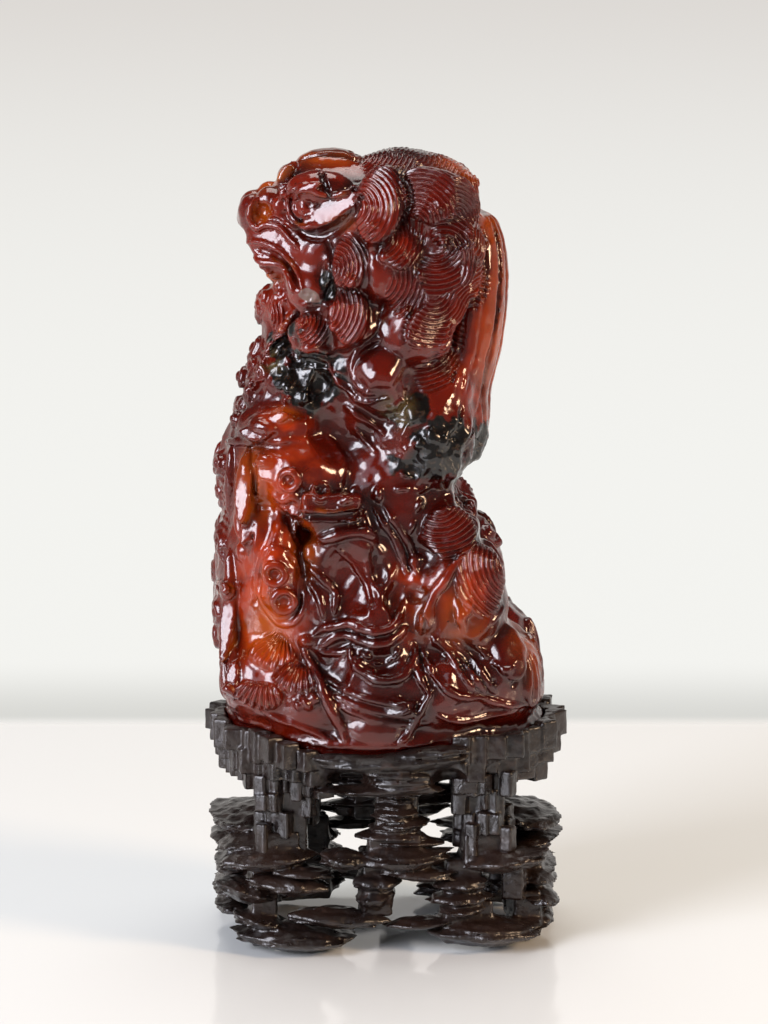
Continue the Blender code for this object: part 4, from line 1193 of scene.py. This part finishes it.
# Position, half sizes, yaw, tilt and pointedness of each slab in the front half of a tier
UPPER = [
    ((-22.6, -1.0, 19.8), (7.4, 12.0, 1.9), 4, 9, 2.2),
    ((-22.6, -9.5, 17.7), (6.4, 7.5, 1.7), -10, 10, 2.0),
    ((-19.4, -15.0, 15.9), (9.2, 6.2, 2.3), 5, 3, 1.8),
    ((-6.8, -18.4, 16.4), (5.2, 4.2, 2.1), -6, -10, 1.4),
    ((2.6, -17.4, 16.4), (10.2, 5.6, 2.4), 3, 1, 1.4),
    ((19.2, -14.8, 15.6), (9.2, 6.6, 2.3), -10, 4, 1.8),
    ((24.0, 0.0, 19.6), (6.0, 12.0, 1.8), 4, -3, 2.2),
    ((24.8, 0.0, 16.2), (5.2, 11.5, 1.6), -6, 0, 2.2),
    ((5.4, -17.6, 13.9), (7.4, 4.2, 1.3), 0, -5, 1.6),
    ((-13.6, -17.0, 13.9), (6.0, 4.2, 1.1), 0, -3, 1.6),
]
MIDDLE = [
    ((-25.2, 4.0, 10.8), (4.2, 10.0, 1.6), -4, 0, 2.2),
    ((-25.4, 5.0, 7.4), (3.8, 9.5, 1.5), 6, 0, 2.2),
    ((-23.0, -12.0, 9.4), (6.8, 7.0, 2.2), 26, -18, 2.0),
    ((-15.8, -16.6, 11.7), (8.2, 4.8, 2.0), -3, -5, 1.4),
    ((-1.4, -16.8, 12.3), (4.4, 4.6, 1.7), 0, -2, 2.4),
    ((-1.8, -16.8, 9.5), (3.4, 4.0, 1.7), 0, 2, 2.4),
    ((12.4, -16.4, 12.0), (5.0, 4.8, 1.5), -4, 0, 2.2),
    ((12.4, -16.6, 9.4), (6.2, 5.0, 1.3), 4, 0, 1.6),
    ((12.8, -16.4, 7.4), (4.4, 4.6, 1.2), 0, 0, 2.2),
    ((25.0, 0.0, 10.8), (4.2, 10.5, 1.6), 6, 0, 2.2),
    ((25.2, 1.0, 7.4), (4.2, 9.5, 1.6), -5, 0, 2.2),
]
LOWER = [
    ((-8.0, -17.4, 6.2), (10.0, 4.6, 1.9), 0, -4, 1.6),
    ((5.6, -16.4, 5.0), (7.4, 3.6, 1.1), 0, 3, 1.4),
    ((-15.2, -16.0, 2.6), (11.8, 6.8, 2.5), -6, -3, 1.8),
    ((-20.2, -14.4, 4.6), (6.6, 5.8, 1.6), 22, -16, 1.8),
    ((17.0, -14.6, 3.2), (11.0, 6.6, 2.6), 10, -2, 1.8),
    ((-24.4, 4.0, 3.6), (4.4, 10.5, 1.7), 5, 0, 2.2),
    ((25.0, -1.0, 4.2), (4.0, 10.5, 1.6), -5, 0, 2.2),
]


# For each tier: its slabs, the place and half sizes of its front posts, the posts' level, and
# the level below which it is cut off flat
TIERS = {
    "upper": (UPPER, [(-18, -14, (3.4, 3.2, 2.6)), (16, -14, (3.4, 3.2, 2.6)),
                      (1.5, -15, (4.5, 3, 2.4))], 18.0, None),
    "middle": (MIDDLE, [(-20.6, -13, (2.2, 2.8, 4.0)), (-1.6, -15.5, (2.6, 2.6, 5.6)),
                        (13, -14.5, (3.0, 3.0, 4.0)), (21.6, -11, (1.9, 2.6, 4.0)),
                        (-24, 4, (2.4, 4.0, 4.0))], 12.0, None),
    "lower": (LOWER, [(-20.5, -13.6, (2.2, 2.6, 4.2)), (13.6, -14, (4.2, 2.6, 3.6)),
                      (-23.4, 8, (2.4, 3.6, 4.0))], 5.0, 0.0),
}


def carve_tier(clay, slabs, posts, level, floor):
    """An open ring of overlapping rock slabs on short posts."""
    for (x, y, z), half, yaw, tilt, power in around(slabs):
        clay.leaf((x, y, z), half, yaw, tilt, bend=0.35 * math.sin(3 * x + z), blend=0.12, power=power,
                  ragged=0.13)
    for k, (x, y, half) in enumerate(posts):
        for side in (-1, 1):
            clay.brick((side * x, side * y, level), half, 12 * math.sin(k + side), edge=0.5, blend=0.8)
    where, (x, y, z) = clay.everywhere()
    hollow = np.maximum(np.abs(x) - 13.2, np.abs(y) - 9.6)
    clay.cut(where, hollow.astype(np.float32), 0.6)
    if floor is not None:
        clay.field[where] = np.maximum(clay.field[where], floor - z)


def finish_stand(clay, name, node):
    """Skins a carved piece of the stand, with its layers and tool cuts, and puts it on its body."""
    points, triangles = whole(*skin(clay))
    points = settle(clay, points, 2)
    normals = point_normals(points, triangles)
    layer_height = 1.55
    layer_depth = 0.0 if "leg" in node or "dish" in node else 0.16
    level = points[:, 2] + 0.5 * waves(points, 16, 3) + 0.25 * waves(points, 6, 4)
    layers = 1 - np.abs(np.sin(math.pi * level / layer_height))
    sideways = 1 - np.abs(normals[:, 2])
    cuts = 0.05 * waves(points, 2.6, 21) + 0.03 * waves(points, 1.3, 22)
    # nothing is cut from the flat feet
    off_foot = np.clip((points[:, 2] - 0.25) / 0.5, 0, 1)
    points = points + normals * ((cuts - layer_depth * layers**2 * sideways) * off_foot)[:, None]
    crease = spread(hollowness(clay, points, normals, 0.9), triangles, 2)
    obj = mesh_object(name, points, triangles, {"crease": crease})
    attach(obj, "stand")
    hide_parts(node)
    return obj


def carve_stand():
    """Every piece of the stand, one for each CAD node."""
    made = []
    clay = node_clay("stand_dish", 3.8)
    carve_dish(clay)
    made.append(finish_stand(clay, "dish_carving", "stand_dish"))
    for side_y, depth_name in ((-1, "front"), (1, "back")):
        clay = node_clay(f"stand_{depth_name}_rock", 5.0)
        carve_rock(clay, side_y, 8 + side_y)
        made.append(finish_stand(clay, f"{depth_name}_rock_carving", f"stand_{depth_name}_rock"))
        for side_x, side_name in ((-1, "left"), (1, "right")):
            node = f"stand_{depth_name}_{side_name}_leg"
            clay = node_clay(node, 3.6)
            carve_leg(clay, side_x, side_y, 20 + side_x + 3 * side_y)
            made.append(finish_stand(clay, f"{depth_name}_{side_name}_leg_carving", node))
    for label, tier in TIERS.items():
        node = f"stand_{label}_tier"
        clay = node_clay(node, 3.0)
        carve_tier(clay, *tier)
        made.append(finish_stand(clay, f"{label}_tier_carving", node))
    return made


# ---------------------------------------------------------------- materials

def node_tree(name):
    made = bpy.data.materials.new(name)
    made.use_nodes = True
    tree = made.node_tree
    return made, tree, tree.nodes["Principled BSDF"]


def link(tree, source, target):
    tree.links.new(source, target)
    return target


def attribute(tree, name):
    node = tree.nodes.new("ShaderNodeAttribute")
    node.attribute_name = name
    return node.outputs["Fac"]


def noise(tree, scale, detail, distortion=0.0):
    """Cloudy values between about 0.3 and 0.7 that follow the object."""
    place = tree.nodes.new("ShaderNodeTexCoord")
    node = tree.nodes.new("ShaderNodeTexNoise")
    node.inputs["Scale"].default_value = scale
    node.inputs["Detail"].default_value = detail
    node.inputs["Distortion"].default_value = distortion
    link(tree, place.outputs["Object"], node.inputs["Vector"])
    return node.outputs["Fac"]


def stretch(tree, value, low, high, to_low=0.0, to_high=1.0):
    """Maps the value smoothly from low..high to to_low..to_high."""
    node = tree.nodes.new("ShaderNodeMapRange")
    node.interpolation_type = "SMOOTHSTEP"
    for name, number in (("From Min", low), ("From Max", high), ("To Min", to_low), ("To Max", to_high)):
        node.inputs[name].default_value = number
    link(tree, value, node.inputs["Value"])
    return node.outputs["Result"]


def maths(tree, operation, a, b=0.0):
    """The operation on two values, each a number or a socket."""
    node = tree.nodes.new("ShaderNodeMath")
    node.operation = operation
    for socket, value in zip(node.inputs, (a, b)):
        if isinstance(value, (int, float)):
            socket.default_value = value
        else:
            link(tree, value, socket)
    return node.outputs[0]


def product(tree, a, b):
    return maths(tree, "MULTIPLY", a, b)


def marked(tree, name, low, high, most):
    """From 0 to most where the named value of the mesh goes from low to high."""
    return stretch(tree, attribute(tree, name), low, high, 0.0, most)


def blend_colour(tree, share, a, b):
    """From colour a where the share is 0 to colour b where it is 1."""
    node = tree.nodes.new("ShaderNodeMix")
    node.data_type = "RGBA"
    for socket, value in ((node.inputs["Factor"], share), (node.inputs[6], a), (node.inputs[7], b)):
        if isinstance(value, tuple):
            socket.default_value = (*value, 1.0)
        else:
            link(tree, value, socket)
    return node.outputs[2]


def bump_chain(tree, shader, layers):
    """Stacks bump layers, each a height, a distance in metres and a strength."""
    last = None
    for height, distance, strength in layers:
        node = tree.nodes.new("ShaderNodeBump")
        node.inputs["Distance"].default_value = distance
        node.inputs["Strength"].default_value = strength
        link(tree, height, node.inputs["Height"])
        if last:
            link(tree, last, node.inputs["Normal"])
        last = node.outputs["Normal"]
    link(tree, last, shader.inputs["Normal"])


def amber_material():
    """Cherry amber: deep red, with painted orange glow where light comes through and painted shade in its
    creases.
    """
    made, tree, shader = node_tree("polished_amber")
    broad, cloud, grit = noise(tree, 55, 3, 0.6), noise(tree, 210, 4, 0.4), noise(tree, 900, 3)
    lit = stretch(tree, cloud, 0.36, 0.6, 0.2, 1.0)
    clear = stretch(tree, broad, 0.35, 0.6, 0.35, 1.0)
    stone_edge = maths(tree, "ADD", attribute(tree, "rock"), stretch(tree, cloud, 0.3, 0.7, -0.35, 0.35))
    stone = stretch(tree, stone_edge, 0.42, 0.58)
    chalk = maths(tree, "ADD", attribute(tree, "chalk"), stretch(tree, cloud, 0.3, 0.7, -0.4, 0.4))
    patchy = stretch(tree, cloud, 0.36, 0.55)
    # what lies over the body colour, in order: how much of it shows, and its colour
    layers = [
        (product(tree, attribute(tree, "deep"), 0.48), (0.045, 0.002, 0.001)),
        # painted glow: brighter red where light would come through the body, orange where it would come
        # through an edge
        (product(tree, attribute(tree, "painted_body_glow"), lit), (0.66, 0.056, 0.004)),
        (product(tree, attribute(tree, "painted_edge_glow"), clear), (0.66, 0.115, 0.006)),
        # painted glow: orange where the carving is thin, as if light came through it
        (marked(tree, "thin", 0.25, 0.9, 0.8), (0.80, 0.19, 0.012)),
        # painted shade: dark in creases, where the foot meets the rim, and in broad hollows
        (marked(tree, "crease", 0.1, 0.8, 0.75), (0.035, 0.002, 0.0015)),
        (marked(tree, "hollow", 0.0, 0.5, 0.75), (0.03, 0.003, 0.002)),
        (stone, (0.005, 0.003, 0.002)),
        (product(tree, stone, stretch(tree, grit, 0.56, 0.66, 0.0, 0.8)), (0.075, 0.045, 0.028)),
        (product(tree, attribute(tree, "olive"), patchy), (0.16, 0.105, 0.035)),
        (stretch(tree, chalk, 0.45, 0.6), (0.34, 0.22, 0.18)),
        (product(tree, stretch(tree, grit, 0.68, 0.74), 0.5), (0.03, 0.005, 0.003)),
    ]
    dark_red, clear_red = (0.13, 0.006, 0.0025), (0.31, 0.018, 0.0035)
    colour = blend_colour(tree, stretch(tree, broad, 0.35, 0.65), dark_red, clear_red)
    for share, tint in layers:
        colour = blend_colour(tree, share, colour, tint)
    link(tree, colour, shader.inputs["Base Color"])
    polish = stretch(tree, cloud, 0.3, 0.7, 0.10, 0.20)
    rough = maths(tree, "ADD", polish, product(tree, stone, 0.03))
    link(tree, rough, shader.inputs["Roughness"])
    shader.inputs["IOR"].default_value = 1.54
    shader.inputs["Coat Weight"].default_value = 0.15
    shader.inputs["Coat Roughness"].default_value = 0.06
    shader.inputs["Transmission Weight"].default_value = 0.45
    shader.inputs["Subsurface Weight"].default_value = 0.15
    shader.inputs["Subsurface Radius"].default_value = (1.0, 0.2, 0.08)
    shader.inputs["Subsurface Scale"].default_value = 0.003
    # the colour that light takes on inside, which is deeper the longer its way is
    depth = tree.nodes.new("ShaderNodeVolumeAbsorption")
    depth.inputs["Color"].default_value = (0.92, 0.30, 0.05, 1.0)
    depth.inputs["Density"].default_value = 420.0
    link(tree, depth.outputs["Volume"], tree.nodes["Material Output"].inputs["Volume"])
    # a fine ridge along each engraved strand of hair, over the cloudy and gritty skin
    turns = product(tree, attribute(tree, "strand"), math.pi)
    strand = maths(tree, "ABSOLUTE", maths(tree, "SINE", turns))
    height = product(tree, strand, attribute(tree, "hair"))
    bump_chain(tree, shader, [(height, 0.00022, 0.6), (cloud, 0.0005, 0.16), (grit, 0.0002, 0.12)])
    return made


def wood_material():
    """Nearly black hardwood with a satin wax."""
    made, tree, shader = node_tree("blackened_hardwood")
    broad, cloud, grit = noise(tree, 70, 3, 0.4), noise(tree, 350, 4, 0.8), noise(tree, 1500, 3)
    black, brown, worn = (0.007, 0.004, 0.0035), (0.018, 0.009, 0.0065), (0.038, 0.018, 0.011)
    colour = blend_colour(tree, stretch(tree, broad, 0.35, 0.65), black, brown)
    colour = blend_colour(tree, stretch(tree, cloud, 0.55, 0.75, 0.0, 0.6), colour, worn)
    link(tree, colour, shader.inputs["Base Color"])
    link(tree, stretch(tree, cloud, 0.3, 0.7, 0.26, 0.42), shader.inputs["Roughness"])
    shader.inputs["Specular IOR Level"].default_value = 0.5
    shader.inputs["Coat Weight"].default_value = 0.3
    shader.inputs["Coat Roughness"].default_value = 0.24
    bump_chain(tree, shader, [(cloud, 0.0005, 0.5), (grit, 0.00025, 0.5)])
    return made


# ---------------------------------------------------------------- stage

def look_at(obj, target):
    obj.rotation_euler = (Vector(target) - obj.location).to_track_quat("-Z", "Y").to_euler()


def stage_camera():
    """A long lens 0.8 m away, 11 degrees above the level of the object's middle."""
    distance, elevation, height = 0.8, math.radians(11), 0.067
    data = bpy.data.cameras.new("camera")
    data.lens = 167.4
    data.sensor_width = 36
    data.shift_x = -0.001
    data.shift_y = 0.027
    camera = bpy.data.objects.new("camera", data)
    camera.location = (0, -distance * math.cos(elevation), height + distance * math.sin(elevation))
    bpy.context.scene.collection.objects.link(camera)
    look_at(camera, (0, 0, height))
    bpy.context.scene.camera = camera


def stage_light(name, place, target, size, power, colour):
    data = bpy.data.lights.new(name, "AREA")
    data.shape = "RECTANGLE"
    data.size, data.size_y = size
    data.energy = power
    data.color = colour
    light = bpy.data.objects.new(name, data)
    light.location = place
    bpy.context.scene.collection.objects.link(light)
    look_at(light, target)


def surroundings(tree, split):
    """How bright the room is in each direction: full behind the object, dim on the camera's side."""
    x, y = split.outputs["X"], split.outputs["Y"]
    square = maths(tree, "ADD", product(tree, x, x), product(tree, y, y))
    return stretch(tree, maths(tree, "DIVIDE", y, maths(tree, "SQRT", square)), -0.7, 0.8, 0.28, 1.0)


def stage_floor():
    """A glossy white table top, and beyond its edges a matte pale tone as bright as the wall behind."""
    # half the floor's size, and how far the table goes behind and aside of the object
    reach, edge, side = 8.0, 0.152, 0.4
    soft = 0.006
    mesh = bpy.data.meshes.new("floor")
    corners = [(-reach, -reach, 0), (reach, -reach, 0), (reach, reach, 0), (-reach, reach, 0)]
    mesh.from_pydata(corners, [], [(0, 1, 2, 3)])
    floor = bpy.data.objects.new("floor", mesh)
    bpy.context.scene.collection.objects.link(floor)
    made, tree, shader = node_tree("pale_table")
    place = tree.nodes.new("ShaderNodeTexCoord")
    split = tree.nodes.new("ShaderNodeSeparateXYZ")
    link(tree, place.outputs["Object"], split.inputs[0])
    away = maths(tree, "ABSOLUTE", split.outputs["Y"])
    aside = maths(tree, "SUBTRACT", maths(tree, "ABSOLUTE", split.outputs["X"]), side - edge)
    away = maths(tree, "MAXIMUM", away, aside)
    behind = stretch(tree, away, edge - soft, edge + soft)
    # a soft line of painted shade where the table ends
    line = product(tree, stretch(tree, away, edge - 2 * soft, edge),
                   stretch(tree, away, edge, edge + 0.06, 1.0, 0.0))
    table = blend_colour(tree, noise(tree, 4, 2), (0.83, 0.86, 0.85), (0.87, 0.89, 0.88))
    colour = blend_colour(tree, behind, table, (0.02, 0.02, 0.02))
    link(tree, colour, shader.inputs["Base Color"])
    link(tree, stretch(tree, behind, 0, 1, 0.10, 1.0), shader.inputs["Roughness"])
    link(tree, stretch(tree, behind, 0, 1, 0.5, 0.0), shader.inputs["Specular IOR Level"])
    wall = blend_colour(tree, stretch(tree, away, 0.3, 2.3), (0.88, 0.88, 0.85), (0.71, 0.68, 0.65))
    wall = blend_colour(tree, product(tree, line, 0.7), wall, (0.58, 0.58, 0.55))
    link(tree, wall, shader.inputs["Emission Color"])
    shining = product(tree, behind, surroundings(tree, split))
    link(tree, shining, shader.inputs["Emission Strength"])
    mesh.materials.append(made)


def stage_world():
    """A pale room near the level, as bright as the floor beyond the table, and dim above."""
    world = bpy.data.worlds.new("room")
    bpy.context.scene.world = world
    world.use_nodes = True
    tree = world.node_tree
    background = tree.nodes["Background"]
    background.inputs["Color"].default_value = (0.71, 0.68, 0.65, 1.0)
    place = tree.nodes.new("ShaderNodeTexCoord")
    split = tree.nodes.new("ShaderNodeSeparateXYZ")
    link(tree, place.outputs["Generated"], split.inputs[0])
    low = stretch(tree, split.outputs["Z"], 0.25, 0.5, 1.0, 0.0)
    bright = product(tree, low, surroundings(tree, split))
    link(tree, maths(tree, "MAXIMUM", bright, 0.12), background.inputs["Strength"])


# ---------------------------------------------------------------- build

MIDDLE_OF_OBJECT = (0, 0, 0.07)

stage_camera()
stage_world()
stage_floor()
stage_light("window", tuple(WINDOW * MM), MIDDLE_OF_OBJECT, (0.5, 0.75), 16, (0.90, 0.91, 1.0))
stage_light("curtain", tuple(WINDOW * MM * 1.25), MIDDLE_OF_OBJECT, (1.3, 1.3), 8, (0.82, 0.84, 1.0))
stage_light("lamp", (0.75, -0.35, 0.45), MIDDLE_OF_OBJECT, (0.22, 0.22), 5, (1.0, 0.70, 0.45))
stage_light("ceiling", (0.0, 0.3, 1.3), (0, 0, 0.05), (0.8, 0.8), 9, (1.0, 0.98, 0.95))

amber, wood = amber_material(), wood_material()
lion = carve_lion()
lion.data.materials.append(amber)
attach(lion, "lion")
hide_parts("amber_lion")
for piece in carve_stand():
    piece.data.materials.append(wood)

bpy.context.scene.view_settings.view_transform = "Standard"
